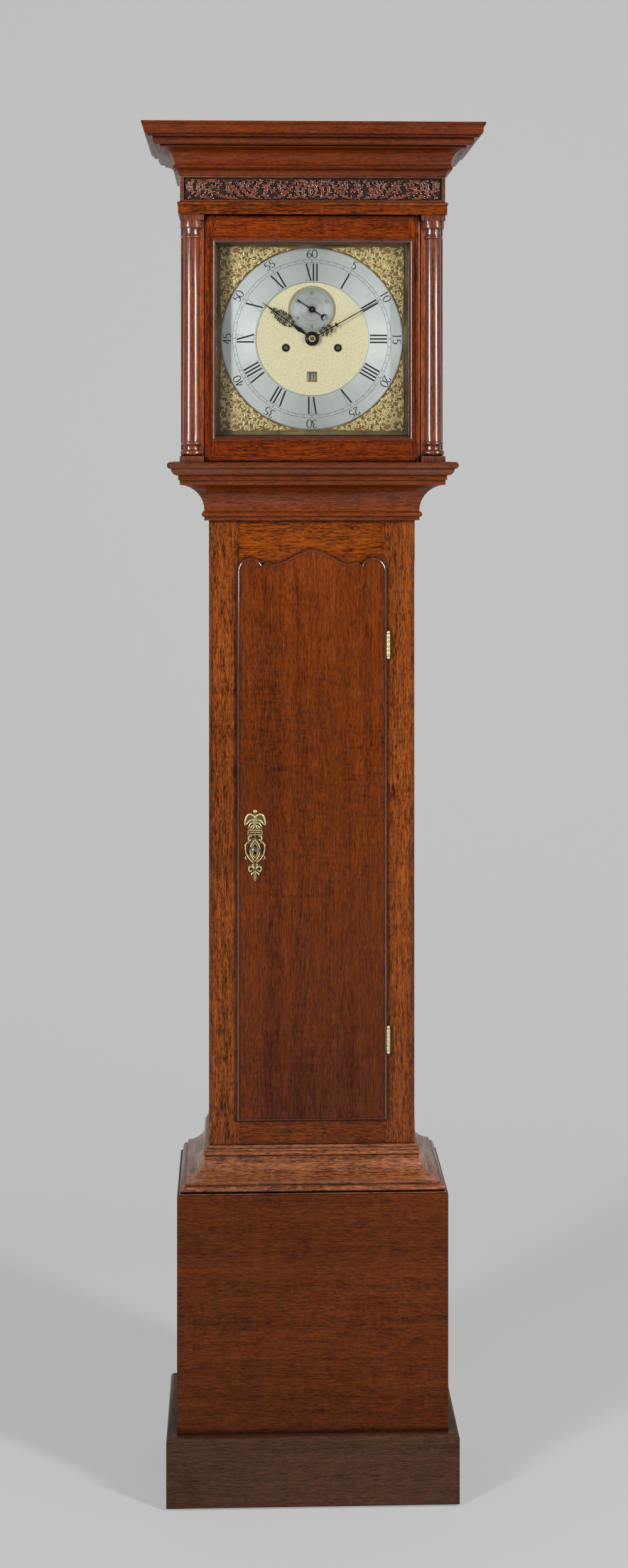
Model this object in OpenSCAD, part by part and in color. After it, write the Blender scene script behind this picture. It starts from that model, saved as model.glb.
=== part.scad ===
/* [Case] */
// Width of the base box
base_w = 416; // [400:2:430]
// Depth of the base box
base_d = 223.5; // [215:0.5:235]
// Height of the base box boards
base_h = 470; // [420:5:520]
// Thickness of the base front board
base_front_t = 16; // [12:1:20]
// Thickness of the base side boards
base_side_t = 14; // [10:1:18]
// Thickness of the bottom board
floor_t = 14; // [10:1:20]
// Height of the bottom board above the lower edge of the sides
floor_lift = 12; // [6:1:30]
// Width of the trunk
trunk_w = 320; // [312:2:328]
// Depth of the trunk, front face to back
trunk_d = 175.5; // [170:0.5:182]
// Height of the trunk between its two mouldings
trunk_h = 970; // [940:5:1000]
// Thickness of the trunk frame boards
frame_t = 20; // [16:1:24]
// Thickness of the trunk side boards
side_t = 14; // [10:1:18]
// Thickness of the backboard
back_t = 12; // [8:1:14]
// Length of the trunk boards that reaches down into the base
trunk_foot = 34; // [20:2:60]
// Width of the chamfer on the front corners of the trunk
chamfer_w = 6.5; // [4:0.5:9]
// Height from the mouldings to where each chamfer stops
chamfer_stop = 34; // [24:2:60]
// Diameter of a floor glide
glide_d = 17.5; // [14:0.5:22]
// Height of a floor glide
glide_h = 4; // [3:0.5:8]
// Distance of the glides from the sides of the base
glide_inset = 2; // [0:0.5:12]

/* [Mouldings] */
// How far the plinth stands out from the base
plinth_p = 16; // [12:1:20]
// Height of the flat part of the plinth
plinth_h = 100; // [80:2:120]
// Radius of the round on the top edge of the plinth
plinth_round = 6; // [3:0.5:8]
// How far the neck of the base moulding stands out from the trunk
base_neck = 6; // [5:0.5:9]
// Radius of the half round at the foot of the base moulding
base_torus_r = 5; // [4:0.5:6]
// Radius of the small bead of the base moulding
base_bead_r = 3.2; // [2:0.2:4]
// How far the neck of the moulding under the hood stands out from the trunk
throat_neck = 6.4; // [5:0.2:9]
// Radius of the small bead of the moulding under the hood
throat_bead_r = 4; // [3:0.5:5]
// Height of the two square edges at the top of that moulding
throat_fillet_h = 7; // [5:0.5:9]

/* [Hood] */
// Width of the hood over the pillar blocks
hood_w = 408; // [404:2:420]
// Depth of the hood, front face to back
hood_d = 219.5; // [212:0.5:226]
// How far the nose of the hood base stands out from the hood
hood_nose_p = 19; // [14:1:24]
// Height of the hood base frame
hood_base_h = 21; // [19:1:26]
// Gap between the hood base frame and the trunk cheeks
hood_slip = 1.5; // [1:0.5:3]
// Height between the hood base frame and the band above the door
pillar_h = 380; // [376:2:392]
// Side of the square blocks at the ends of the pillars
block_w = 37; // [36.5:0.5:38]
// Height of the square blocks
block_h = 9; // [7:0.5:11]
// Shaft radius at the foot of a pillar
shaft_r0 = 14.6; // [13.5:0.1:15]
// Shaft radius at the neck of a pillar
shaft_r1 = 12.7; // [11:0.1:13.2]
// Thickness of the hood side boards
hood_side_t = 14; // [10:1:16]
// Height of the band above the door
band_h = 19; // [16:1:24]
// Height of the frieze
frieze_h = 40; // [34:1:50]
// Thickness of the frieze boards
frieze_t = 12; // [8:1:16]
// Thickness of the board that closes the top
top_t = 10; // [8:1:12]
// How far the cornice stands out from the frieze
cornice_p = 56.5; // [55:0.5:60]
// Depth of the cornice strips behind the frieze line
cornice_back = 14; // [10:1:20]
// Thickness of the dial mask
mask_t = 6.2; // [4:0.2:7]
// Gap between the mask and the dial plate
mask_gap = 0.3; // [0.2:0.1:1]

/* [Hood door] */
// Thickness of the hood door
hdoor_t = 19; // [17:0.5:21]
// Gap at the sides of the hood door
hdoor_side_gap = 1.5; // [1:0.1:2]
// Gap above and below the hood door
hdoor_end_gap = 1.5; // [1:0.1:2.5]
// Distance of the hood door behind the block faces
hdoor_back = 10; // [8:0.5:12]
// Width of the frame of the hood door with its moulding
hdoor_rail = 17.5; // [16.5:0.5:20]
// Width of the moulding round the glass
sight_mould = 11; // [8:0.5:12]
// Thickness of the glass
glass_t = 2.5; // [2:0.1:3]
// Radius of a door pivot pin
pivot_r = 2; // [1.5:0.1:2.5]
// Distance of the pivot pins from the door edge and front face
pivot_in = 3.8; // [3.4:0.1:4.5]

/* [Trunk door] */
// Width of the upright boards beside the door
stile_w = 47; // [44:1:50]
// How far the lip of the door covers the frame
lip = 4.5; // [4:0.1:6]
// Height of the door's lower edge above the base moulding
tdoor_foot = 36.5; // [32:0.5:44]
// Height of the crown of the door above its lower edge
tdoor_h = 889.5; // [860:0.5:900]
// Thickness of the lip, which stands in front of the frame
lip_t = 8; // [7:0.5:10]
// Thickness of the door behind the front of the frame
tdoor_in = 14; // [12:0.5:17]
// Radius of the round on the edge of the door
tdoor_round = 6; // [4:0.5:6.5]
// Height of the crown above the low points beside it
crown_h = 22.5; // [18:0.5:26]
// Radius of the round shoulders of the door
shoulder_r = 22; // [20:0.5:24]
// Gap between the door and its opening
door_gap = 1; // [0.8:0.1:1.5]
// Length of a trunk hinge knuckle
hinge_l = 34; // [28:1:40]
// Radius of a trunk hinge knuckle
knuckle_r = 3.2; // [2.8:0.1:3.4]
// Height of the lower hinge above the foot of the door
hinge_low = 125.5; // [100:0.5:160]
// Height of the upper hinge above the foot of the door
hinge_high = 739.5; // [700:0.5:780]
// Height of the keyhole above the foot of the door
lock_z = 428; // [400:1:460]
// Distance of the keyhole from the edge of the opening
lock_in = 24.5; // [22:0.5:28]
// Travel of the lock bolt
bolt_throw = 7; // [5:0.5:8]

/* [Dial] */
// Side of the square dial plate
dial_w = 304.8; // [302:0.1:308]
// Thickness of the dial plate
dial_t = 2.5; // [2:0.1:3]
// Outer radius of the chapter ring
chapter_r1 = 140.7; // [138:0.1:142]
// Inner radius of the chapter ring
chapter_r0 = 87.5; // [85:0.5:90]
// Thickness of the silvered rings
ring_t = 1.5; // [1:0.1:1.8]
// Outer radius of the seconds ring
seconds_r = 33.8; // [32:0.1:35]
// Height of the seconds arbor above the dial centre
seconds_z = 45.5; // [44:0.1:47]
// Side of the square date window
date_w = 16; // [12:0.5:17]
// Distance of the date window below the dial centre
date_z = 59; // [58:0.5:60]
// Length of the minute hand from its centre
minute_l = 125.7; // [118:0.1:128]
// Length of the hour hand from its centre
hour_l = 96.8; // [90:0.1:100]
// Angle of the minute hand from upright, clockwise
minute_a = 60.6; // [0:0.1:360]
// Angle of the hour hand from upright, clockwise
hour_a = 305.6; // [0:0.1:360]

/* [Movement] */
// Sideways distance of the winding arbors from the centre
wind_x = 40.5; // [40:0.1:41]
// Distance of the winding arbors below the centre
wind_z = 14; // [13:0.1:15]
// Distance between the plates
plate_gap = 60.5; // [60:0.5:64]
// Thickness of the plates
plate_t = 3; // [2.5:0.1:3.5]
// Width of the plates
plate_w = 140; // [138:1:150]
// Height of the plates above the centre
plate_up = 82; // [80:1:86]
// Depth of the plates below the centre
plate_down = 64; // [63:1:68]
// Radius of the line drums
drum_r = 24; // [22:0.1:24.2]
// Length of the line drums
drum_l = 40; // [38:0.5:40]
// Radius of the gut line
line_r = 0.75; // [0.6:0.05:0.9]
// Distance from one turn of line to the next
line_pitch = 2.4; // [2.2:0.1:2.5]
// Turns of line on each drum as drawn
line_turns = 7; // [4:1:12]
// Radius of the pulleys under the line
pulley_r = 18; // [16:0.5:19]
// Depth of the pulleys below the seatboard as drawn
pulley_drop = 696; // [600:4:720]
// Radius of a weight
weight_r = 32; // [28:1:34]
// Length of a weight
weight_l = 230; // [200:5:240]
// Thickness of the seatboard
seat_t = 22; // [18:1:26]
// Length of the pendulum from its spring to the middle of the bob
pendulum_l = 985; // [960:1:1000]
// Radius of the pendulum bob
bob_r = 55; // [48:1:60]
// Thickness of the pendulum bob
bob_t = 30; // [24:1:32]
// Radius of the escape wheel
escape_r = 17; // [16.5:0.1:17.2]
// Radius of the mouth of the bell
bell_r = 47; // [40:1:48]

/* [Hidden] */
$fn = 64;

// Small working clearances
fit = 0.05;
run = 0.3;
eps = 0.01;

// Faces from front to back: the whole clock is centred on the origin
back_y = (hood_d + cornice_p) / 2;
hood_y = back_y - hood_d;
trunk_y = back_y - trunk_d;
base_y = back_y - base_d;

// Steps between the widths of the stages
base_step = (base_w - trunk_w) / 2;
hood_step = (hood_w - trunk_w) / 2;
opening_w = trunk_w - 2 * stile_w;

// Profile heights that follow from the radii
base_foot_h = 2;
base_hollow_r = base_step - 12 - base_neck;
base_quirk_h = base_foot_h + 2 * base_torus_r + 5;
base_bead_z = base_quirk_h + base_hollow_r + base_bead_r + 0.8;
base_mould_h = base_bead_z + 12;
throat_neck_h = 16;
throat_hollow_r = hood_step + 2.4 - throat_neck;
throat_fillet_z = throat_neck_h + throat_hollow_r;
throat_h = throat_fillet_z + 2 * throat_fillet_h;

// Levels from the floor up
z_base = glide_h;
z_base_top = z_base + base_h;
z_trunk = z_base_top + base_mould_h;
z_throat = z_trunk + trunk_h;
z_hood = z_throat + throat_h;
z_pillar = z_hood + hood_base_h;
z_band = z_pillar + pillar_h;
z_frieze = z_band + band_h;
z_cornice = z_frieze + frieze_h;
z_dial = z_pillar + pillar_h / 2 + 1;

// Trunk door and lock
z_door = z_trunk + tdoor_foot;
z_crown = z_door + tdoor_h;
tdoor_w = opening_w + 2 * lip;
tdoor_y = trunk_y - lip_t;
tdoor_back = trunk_y + tdoor_in;
hinge_x = tdoor_w / 2 + 1;
hinge_y = trunk_y - knuckle_r - 0.5;
hinge_zs = [z_door + hinge_low, z_door + hinge_high];
key_x = lock_in - opening_w / 2;
key_z = z_door + lock_z;
chamfer_top = 63;
notch_z = 3.4;
shoulder_cx = tdoor_w / 2 - shoulder_r;
notch_x = shoulder_cx - shoulder_r - 2;
crown_x = notch_x - shoulder_r / 2;
shoulder_cz = z_crown - 34.5;
cusp_a = 154.5;
leaf_t = 1.1;
leaf_in = 17;
pin_r = 1.3;
finial_r = 2.9;
knuckles = 5;
knuckle_l = hinge_l / knuckles;
knuckle_gap = 0.15;
escutcheon_t = 1.2;
lock_w = 44;
lock_d = 11;
lock_wall = 1.5;
lock_x = door_gap - opening_w / 2;
shank_r = 1.9;
bolt_y0 = tdoor_back + 0.6;
bolt_y1 = bolt_y0 + 4;
bolt_z0 = 9;
bolt_z1 = 18;

// Hood door
hdoor_w = hood_w - 2 * block_w - 2 * hdoor_side_gap;
sight = hdoor_w - 2 * hdoor_rail;
hdoor_y = hood_y + hdoor_back;
hdoor_z0 = z_pillar + hdoor_end_gap;
hdoor_z1 = z_band - hdoor_end_gap;
pivot_x = hdoor_w / 2 - pivot_in;
pivot_y = hdoor_y + pivot_in;
glass_y = hdoor_y + hdoor_t / 2 + 2;
sight_z = z_dial - 3;
pivot_plate_t = 1.6;

// Dial and movement from front to back
mask_y = hood_y + block_w;
dial_y = mask_y + mask_t + mask_gap;
ring_y = dial_y - ring_t;
front_y = dial_y + 36;
gap_y = front_y + plate_t;
rear_y = gap_y + plate_gap;
cock_y = rear_y + plate_t;
pend_y = cock_y + 28.5;
seat_top = z_dial - plate_down;
seat_z = seat_top - seat_t;
hour_y = ring_y - 2.8;
minute_y = hour_y - 2.6;
spandrel_t = 2;
dial_feet = [[-62, -45], [62, -45], [-60, 66], [60, 66]];
date_r1 = date_z + 9;
date_r0 = date_z - 8.7;

// Going train: tooth counts, sizes and arbor places, from the dial centre
great_n = 96;
centre_pn = 8;
centre_n = 60;
third_pn = 8;
third_n = 56;
escape_pn = 7;
escape_n = 30;
wind_dist = norm([wind_x, wind_z]);
great_m = 2 * wind_dist / (great_n + centre_pn);
centre_m = 0.75;
third_m = 0.7;
third_d = centre_m * (centre_n + third_pn) / 2;
escape_d = third_m * (third_n + escape_pn) / 2;
third_z = (third_d * third_d - escape_d * escape_d + seconds_z * seconds_z) / (2 * seconds_z);
third_x = sqrt(third_d * third_d - third_z * third_z);
great_a = atan2(-wind_z, wind_x);
third_a = atan2(third_z, third_x);
escape_a = atan2(seconds_z - third_z, -third_x);

// Motion work behind the dial
cannon_n = 36;
cannon_m = 0.8;
idle_d = cannon_n * cannon_m;
idle_a = 134;
hour_n = 72;
hour_pn = 6;
hour_m = 2 * idle_d / (hour_n + hour_pn);

// Escapement
pallet_a = 48;
pallet_z = seconds_z + escape_r / cos(pallet_a);
pallet_clear = 0.15;
swing_room = 1.6;
crutch_l = 105;
rod_r = 2.5;

// Arbors, plate pillars and bell, from the dial centre
arbor_r = 1.2;
pivot_gap = 0.4;
third_at = [third_x, third_z];
hammer_at = [-52, 72];
pillar_at = [[-54, -56], [62, -57], [0, -50], [-62, 52], [60, 50]];
bell_y = cock_y + 6.5 - bell_r;
bell_z = plate_up + 10;
bell_t = 3;
bell_h = bell_r - 3;

// Lines
wound_r = drum_r + 0.15 + line_r;
strand_out = wound_r + 2 * line_r + 0.15;
drum_y = gap_y + 9;
line_y = drum_y + 3 + line_pitch * line_turns;
strand_gap = 2 * (pulley_r + line_r);
pulley_z = seat_z - pulley_drop;
strike_n = 78;
strike_m = 0.8;

// A plate in the upright plane, its front face at y0
module slab(y0, t) {
    translate([0, y0 + t, 0]) rotate([90, 0, 0]) linear_extrude(t) children();
}

// A round bar along the depth of the clock
module ybar(r, y0, y1) {
    translate([0, y0, 0]) rotate([-90, 0, 0]) cylinder(r = r, h = y1 - y0);
}

// A block between two corners
module block(a, b) {
    translate(a) cube(b - a);
}

// A moulding along the front of a box, as long as its corners reach
module front_run(w, front, reach) {
    translate([-w / 2 - reach, front, 0]) mirror([0, 1, 0]) rotate([90, 0, 90])
        linear_extrude(w + 2 * reach) children();
}

// The same along its right side
module side_run(w, front, reach, back) {
    translate([w / 2, back, 0]) rotate([90, 0, 0]) linear_extrude(back - front + reach)
        children();
}

// A moulding run round the front and both sides, mitred at the corners.
// The outline's x is its reach from the face and its y is its height.
module mitred(w, front, reach, inner, back = back_y) {
    tall = z_cornice + 2 * reach;
    intersection() {
        front_run(w, front, reach) children();
        linear_extrude(tall) polygon([[-w / 2 - reach, front - reach],
            [w / 2 + reach, front - reach], [w / 2 - inner, front + inner],
            [inner - w / 2, front + inner]]);
    }
    for (s = [0, 1]) mirror([s, 0, 0]) {
        intersection() {
            side_run(w, front, reach, back) children();
            linear_extrude(tall) polygon([[w / 2 + reach, front - reach], [w / 2 + reach, back],
                [w / 2 - inner, back], [w / 2 - inner, front + inner]]);
        }
        intersection() {
            front_run(w, front, reach) children();
            side_run(w, front, reach, back) children();
        }
    }
}

// A quarter of a circle in the first quadrant
module quarter(r) {
    intersection() {
        circle(r);
        square(r);
    }
}

// A block of moulding with a hollow cut from its upper outer corner
module hollow_up(neck, r, z) {
    translate([0, z]) difference() {
        square([neck + r, r]);
        translate([neck + r, r]) circle(r);
    }
}

// The same with the hollow at its lower outer corner
module hollow_down(neck, r, z, reach) {
    translate([0, z]) difference() {
        square([reach, r]);
        translate([neck + r, 0]) circle(r);
    }
}

// Case

module feet() {
    color("dimgray") for (x = [-1, 1], y = [base_y, back_y])
        translate([x * (base_w / 2 - glide_inset),
            y + (y < 0 ? 1 : -1) * glide_d, 0])
            cylinder(d = glide_d, h = glide_h);
}

module plinth_outline() {
    translate([0, z_base]) {
        square([plinth_p, plinth_h]);
        translate([0, plinth_h]) square([plinth_p - plinth_round, plinth_round]);
        translate([plinth_p - plinth_round, plinth_h]) quarter(plinth_round);
    }
}

module plinth() {
    color("saddlebrown") mitred(base_w, base_y, plinth_p, 0) plinth_outline();
}

module base_panel() {
    color("sienna") block([-base_w / 2, base_y, z_base],
        [base_w / 2, base_y + base_front_t, z_base_top]);
}

module base_sides() {
    color("sienna") for (s = [0, 1]) mirror([s, 0, 0])
        block([base_w / 2 - base_side_t, base_y + base_front_t, z_base],
            [base_w / 2, back_y, z_base_top]);
}

module base_floor() {
    half = base_w / 2 - base_side_t;
    color("tan") block([-half, base_y + base_front_t, z_base + floor_lift],
        [half, back_y - back_t, z_base + floor_lift + floor_t]);
}

module base_moulding_outline() {
    neck = base_neck;
    translate([0, z_base_top]) {
        square([base_step - 3, base_foot_h]);
        translate([0, base_foot_h]) square([base_step - 4 - base_torus_r, 2 * base_torus_r]);
        translate([base_step - 4 - base_torus_r, base_foot_h + base_torus_r])
            circle(base_torus_r);
        square([base_step - 12, base_quirk_h]);
        hollow_up(neck, base_hollow_r, base_quirk_h);
        translate([neck - 0.5, base_bead_z]) circle(base_bead_r);
        square([neck - 0.5, base_bead_z + base_bead_r + 1]);
        square([neck - 1, base_mould_h - 5]);
        square([neck / 2, base_mould_h]);
    }
}

module base_moulding() {
    color("saddlebrown") mitred(trunk_w, trunk_y, base_step, 0) base_moulding_outline();
}

// The cut for one chamfer on a front corner, with sloping stops
module chamfer_cut(z0, z1) {
    depth = chamfer_w / sqrt(2);
    ramp = 9;
    translate([trunk_w / 2, trunk_y, 0]) rotate([0, 0, 135]) rotate([90, 0, 0])
        translate([0, 0, -chamfer_w]) linear_extrude(2 * chamfer_w)
            polygon([[depth, z0 + ramp], [depth, z1 - ramp], [-depth, z1 + ramp],
                [-depth, z0 - ramp]]);
}

module trunk_stiles() {
    z1 = z_hood;
    color("peru") for (s = [0, 1]) mirror([s, 0, 0]) difference() {
        block([opening_w / 2, trunk_y, z_base_top - trunk_foot],
            [trunk_w / 2, trunk_y + frame_t, z1]);
        chamfer_cut(z_trunk + chamfer_stop, z_throat - chamfer_top);
        if (s == 0) for (z = hinge_zs) hinge_mortise(z);
        if (s == 1) block([opening_w / 2 - eps, bolt_y0 - run, key_z + bolt_z0 - run],
            [opening_w / 2 + bolt_throw + 1.5, bolt_y1 + run, key_z + bolt_z1 + run]);
    }
}

// The door's outline seen from the front, moved in by d.
// Its head has a waved crown between two round shoulders.
function crown_z(x, low) = low - crown_h + crown_h * (1 + cos(180 * x / crown_x)) / 2;
function half_head(d) = concat(
    [for (i = [0 : 8]) let(a = i * cusp_a / 8)
        [shoulder_cx + (shoulder_r - d) * cos(a), shoulder_cz + (shoulder_r - d) * sin(a)]],
    [[notch_x, z_crown - crown_h + notch_z - d]],
    [for (i = [0 : 12]) let(x = crown_x * (1 - i / 12)) [x, crown_z(x, z_crown) - d]]);
function door_outline(d) = concat(
    [[d - tdoor_w / 2, z_door + d], [tdoor_w / 2 - d, z_door + d]],
    half_head(d),
    [for (i = [len(half_head(d)) - 2 : -1 : 0]) [-half_head(d)[i][0], half_head(d)[i][1]]]);

// A closed skin through outlines that lie one behind the other
module loft(outlines, ys) {
    n = len(outlines[0]);
    m = len(outlines);
    points = [for (k = [0 : m - 1], p = outlines[k]) [p[0], ys[k], p[1]]];
    sides = [for (k = [0 : m - 2], i = [0 : n - 1], h = [0, 1]) let(j = (i + 1) % n)
        h == 0 ? [k * n + i, (k + 1) * n + j, k * n + j]
            : [k * n + i, (k + 1) * n + i, (k + 1) * n + j]];
    polyhedron(points, concat(sides, [[for (i = [0 : n - 1]) i]],
        [[for (i = [n : -1 : 1]) (m - 1) * n + i % n]]), convexity = 8);
}

module trunk_rails() {
    color("peru") {
        difference() {
            block([-opening_w / 2, trunk_y, z_crown - 70],
                [opening_w / 2, trunk_y + frame_t, z_hood]);
            slab(trunk_y - 1, frame_t + 2) polygon(door_outline(lip));
        }
        block([-opening_w / 2, trunk_y, z_base_top - trunk_foot],
            [opening_w / 2, trunk_y + frame_t, z_door + lip]);
    }
}

module trunk_sides() {
    color("sienna") for (s = [0, 1]) mirror([s, 0, 0])
        block([trunk_w / 2 - side_t, trunk_y + frame_t, z_base_top - trunk_foot],
            [trunk_w / 2, back_y, z_pillar + 1]);
    color("sienna") for (s = [0, 1]) mirror([s, 0, 0])
        block([trunk_w / 2 - side_t, trunk_y + frame_t, z_pillar],
            [trunk_w / 2, back_y - back_t, seat_z]);
}

module backboard() {
    low = base_w / 2 - base_side_t;
    mid = trunk_w / 2 - side_t;
    high = hood_w / 2 - 1 - hood_side_t - 0.5;
    top = hood_w / 2 - block_w - 0.5;
    right = [[low, z_base], [low, z_base_top], [trunk_w / 2, z_base_top],
        [trunk_w / 2, z_base_top - trunk_foot], [mid, z_base_top - trunk_foot],
        [mid, z_pillar + 1], [high, z_pillar + 1], [high, z_band - 1], [top, z_band - 1],
        [top, z_cornice - 1]];
    color("tan") slab(back_y - back_t, back_t) polygon(concat(right,
        [for (i = [len(right) - 1 : -1 : 0]) [-right[i][0], right[i][1]]]));
}

module throat_outline() {
    neck = throat_neck;
    translate([0, z_throat]) {
        square([neck - 2, throat_neck_h / 2]);
        translate([neck + 0.6, 9.5]) circle(throat_bead_r);
        square([neck + 0.6, throat_neck_h]);
        hollow_down(neck + 0.6, throat_hollow_r, throat_neck_h, hood_step - 1);
        translate([0, throat_fillet_z]) square([hood_step, throat_fillet_h]);
        translate([0, throat_fillet_z + throat_fillet_h])
            square([hood_step + 2.4, throat_fillet_h]);
    }
}

module throat_moulding() {
    color("saddlebrown") mitred(trunk_w, trunk_y, hood_step + 2.4, 0) throat_outline();
}

// Hood

module hood_base_outline() {
    reach = hood_step + hood_nose_p;
    nose_r = hood_base_h / 4;
    low_h = hood_base_h - 2 * nose_r;
    translate([0, z_hood]) {
        translate([hood_slip, 0]) square([reach - 6 - low_h - hood_slip, hood_base_h]);
        translate([reach - 6 - low_h, low_h]) intersection() {
            circle(low_h);
            translate([0, -low_h]) square(low_h);
        }
        translate([hood_slip, low_h])
            square([reach - nose_r - hood_slip, 2 * nose_r]);
        translate([reach - nose_r, low_h + nose_r]) circle(nose_r);
    }
}

module hood_base() {
    color("saddlebrown") difference() {
        mitred(trunk_w, trunk_y, hood_step + hood_nose_p, -hood_slip) hood_base_outline();
        translate([pivot_x, pivot_y, z_pillar - 9]) cylinder(r = pivot_r + fit, h = 10);
    }
}

module hood_sides() {
    color("sienna") for (s = [0, 1]) mirror([s, 0, 0])
        block([hood_w / 2 - 1 - hood_side_t, mask_y, z_pillar],
            [hood_w / 2 - 1, back_y, z_band]);
}

module hood_band_outline() {
    bead = 3;
    translate([0, z_band]) {
        translate([-block_w, 0]) square([block_w + 2.5, band_h - 2 * bead]);
        translate([-block_w, 0]) square([block_w + 1, band_h]);
        translate([1, band_h - bead]) circle(bead);
    }
}

module hood_band() {
    color("saddlebrown") difference() {
        mitred(hood_w, hood_y, 4, block_w) hood_band_outline();
        translate([pivot_x, pivot_y, z_band - 1]) cylinder(r = pivot_r + fit, h = 10);
    }
}

module frieze() {
    color("sienna") mitred(hood_w, hood_y, 0, frieze_t)
        translate([-frieze_t, z_frieze]) square([frieze_t, frieze_h]);
}

module hood_top() {
    color("tan") block([-hood_w / 2, hood_y, z_cornice], [hood_w / 2, back_y, z_cornice + top_t]);
}

module cornice_outline() {
    translate([0, z_cornice]) {
        difference() {
            square([10, 11]);
            translate([10.8, 0]) circle(10);
        }
        translate([0, 11]) square([8.2, 4]);
        translate([8.2, 13]) circle(2.2);
        translate([-cornice_back, top_t]) square([7.7 + cornice_back, 8]);
        difference() {
            translate([-cornice_back, 18]) square([28.5 + cornice_back, 22]);
            translate([29.7, 18]) circle(22);
        }
        translate([-cornice_back, 40]) square([28 + cornice_back, 3]);
        translate([28, 41.5]) circle(1.5);
        translate([-cornice_back, 43]) square([33 + cornice_back, 7]);
        translate([33, 50]) intersection() {
            circle(7);
            translate([0, -7]) square(7);
        }
        translate([-cornice_back, 50]) square([40 + cornice_back, 4]);
        translate([-cornice_back, 54]) square([cornice_p - 9.5 + cornice_back, 9]);
        translate([cornice_p - 9.5, 63]) intersection() {
            circle(6);
            translate([0, -6]) square(6);
        }
        translate([-cornice_back, 63]) square([cornice_p - 3.5 + cornice_back, 3]);
        difference() {
            translate([-cornice_back, 66]) square([cornice_p - 0.5 + cornice_back, 7]);
            translate([cornice_p + 3.5, 66]) circle(7);
        }
        translate([-cornice_back, 73]) square([cornice_p + cornice_back, 3]);
    }
}

module cornice() {
    color("saddlebrown") mitred(hood_w, hood_y, cornice_p, cornice_back) cornice_outline();
}

// The turned outline of a pillar between its blocks
module pillar_outline() {
    top = pillar_h - block_h;
    wide = block_w / 2 - 0.3;
    square([wide - 5, top]);
    translate([0, block_h]) square([wide - 5, 10]);
    translate([wide - 5, block_h + 5]) circle(5);
    translate([wide - 4.6, block_h + 19.5]) circle(3.1);
    translate([0, block_h + 22]) polygon([[0, 0], [shaft_r0, 0],
        [shaft_r1, top - block_h - 50], [0, top - block_h - 50]]);
    translate([wide - 4.8, top - 25]) circle(2.2);
    translate([0, top - 25]) square([wide - 4.8, 4]);
    difference() {
        translate([0, top - 11.5]) square([wide, 11.5]);
        translate([wide + 14.8, top - 13]) circle(15.2);
    }
}

module hood_pillars() {
    color("saddlebrown") for (s = [0, 1]) mirror([s, 0, 0])
        translate([(hood_w - block_w) / 2, hood_y + block_w / 2, z_pillar]) {
            for (z = [0, pillar_h - block_h]) translate([-block_w / 2, -block_w / 2, z])
                cube([block_w, block_w, block_h]);
            rotate_extrude() intersection() {
                pillar_outline();
                square([block_w / 2, pillar_h]);
            }
        }
}

module dial_mask() {
    half = hood_w / 2 - 1 - hood_side_t;
    opening = dial_w / 2 - 3.4;
    color("saddlebrown") difference() {
        block([-half, mask_y, z_pillar], [half, mask_y + mask_t, z_band]);
        translate([0, 0, z_dial]) slab(mask_y - 1, mask_t + 2) square(2 * opening, center = true);
    }
}

// Hood door

// The door seen from above, with its hinge edge rounded to clear the block
module hdoor_plan() {
    half = hdoor_w / 2;
    soft = 2;
    translate([-half, hdoor_y]) square([hdoor_w - soft, hdoor_t]);
    translate([half - soft, hdoor_y + soft]) {
        square([soft, hdoor_t - soft]);
        circle(soft);
    }
}

// Four mitred lengths of quarter-round moulding round the glass
module sight_moulding() {
    half = sight / 2;
    out = half + sight_mould;
    bend = sight_mould - 3;
    translate([0, 0, sight_z]) for (a = [0 : 90 : 270]) rotate([0, a, 0]) intersection() {
        translate([-out, hdoor_y, half]) rotate([90, 0, 90]) linear_extrude(2 * out) {
            translate([bend, 0]) square([hdoor_t - bend, sight_mould]);
            translate([1, bend]) square([bend, sight_mould - bend]);
            intersection() {
                translate([bend, bend]) circle(bend);
                square(bend);
            }
        }
        slab(hdoor_y - 1, hdoor_t + 2)
            polygon([[-half, half], [half, half], [out, out], [-out, out]]);
    }
}

// The let-in plates of the two door pivots
module pivot_plates() {
    for (z = [hdoor_z0, hdoor_z1 - pivot_plate_t]) translate([pivot_x, pivot_y, z])
        translate([-32, -2.5, 0]) cube([34, 11, pivot_plate_t]);
}

module hood_door() {
    inner = sight / 2 + sight_mould;
    glass = sight / 2 + 2;
    color("saddlebrown") difference() {
        union() {
            difference() {
                translate([0, 0, hdoor_z0]) linear_extrude(hdoor_z1 - hdoor_z0) hdoor_plan();
                translate([0, 0, sight_z]) slab(hdoor_y - 1, hdoor_t + 2)
                    square(2 * inner, center = true);
            }
            sight_moulding();
        }
        translate([0, 0, sight_z]) slab(glass_y, hdoor_t) square(2 * glass, center = true);
        pivot_plates();
    }
}

module hood_glass() {
    color("lightblue", 0.3) translate([0, 0, sight_z]) slab(glass_y, glass_t)
        square(sight + 4 - 2 * run, center = true);
}

module hood_pivots() {
    color("goldenrod") {
        pivot_plates();
        translate([pivot_x, pivot_y, z_pillar - 7.5]) cylinder(r = pivot_r, h = 10);
        translate([pivot_x, pivot_y, hdoor_z1 - 1]) cylinder(r = pivot_r, h = 8.5);
    }
}

// Trunk door, hinges and lock

// The part of a leaf that lies on a face and the part that turns in along an edge
module butt_leaf(z) {
    x0 = opening_w / 2;
    block([x0, trunk_y, z - hinge_l / 2], [hinge_x + 1.4, trunk_y + leaf_t, z + hinge_l / 2]);
    block([x0, trunk_y, z - hinge_l / 2], [x0 + leaf_t, trunk_y + leaf_in, z + hinge_l / 2]);
}

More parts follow.
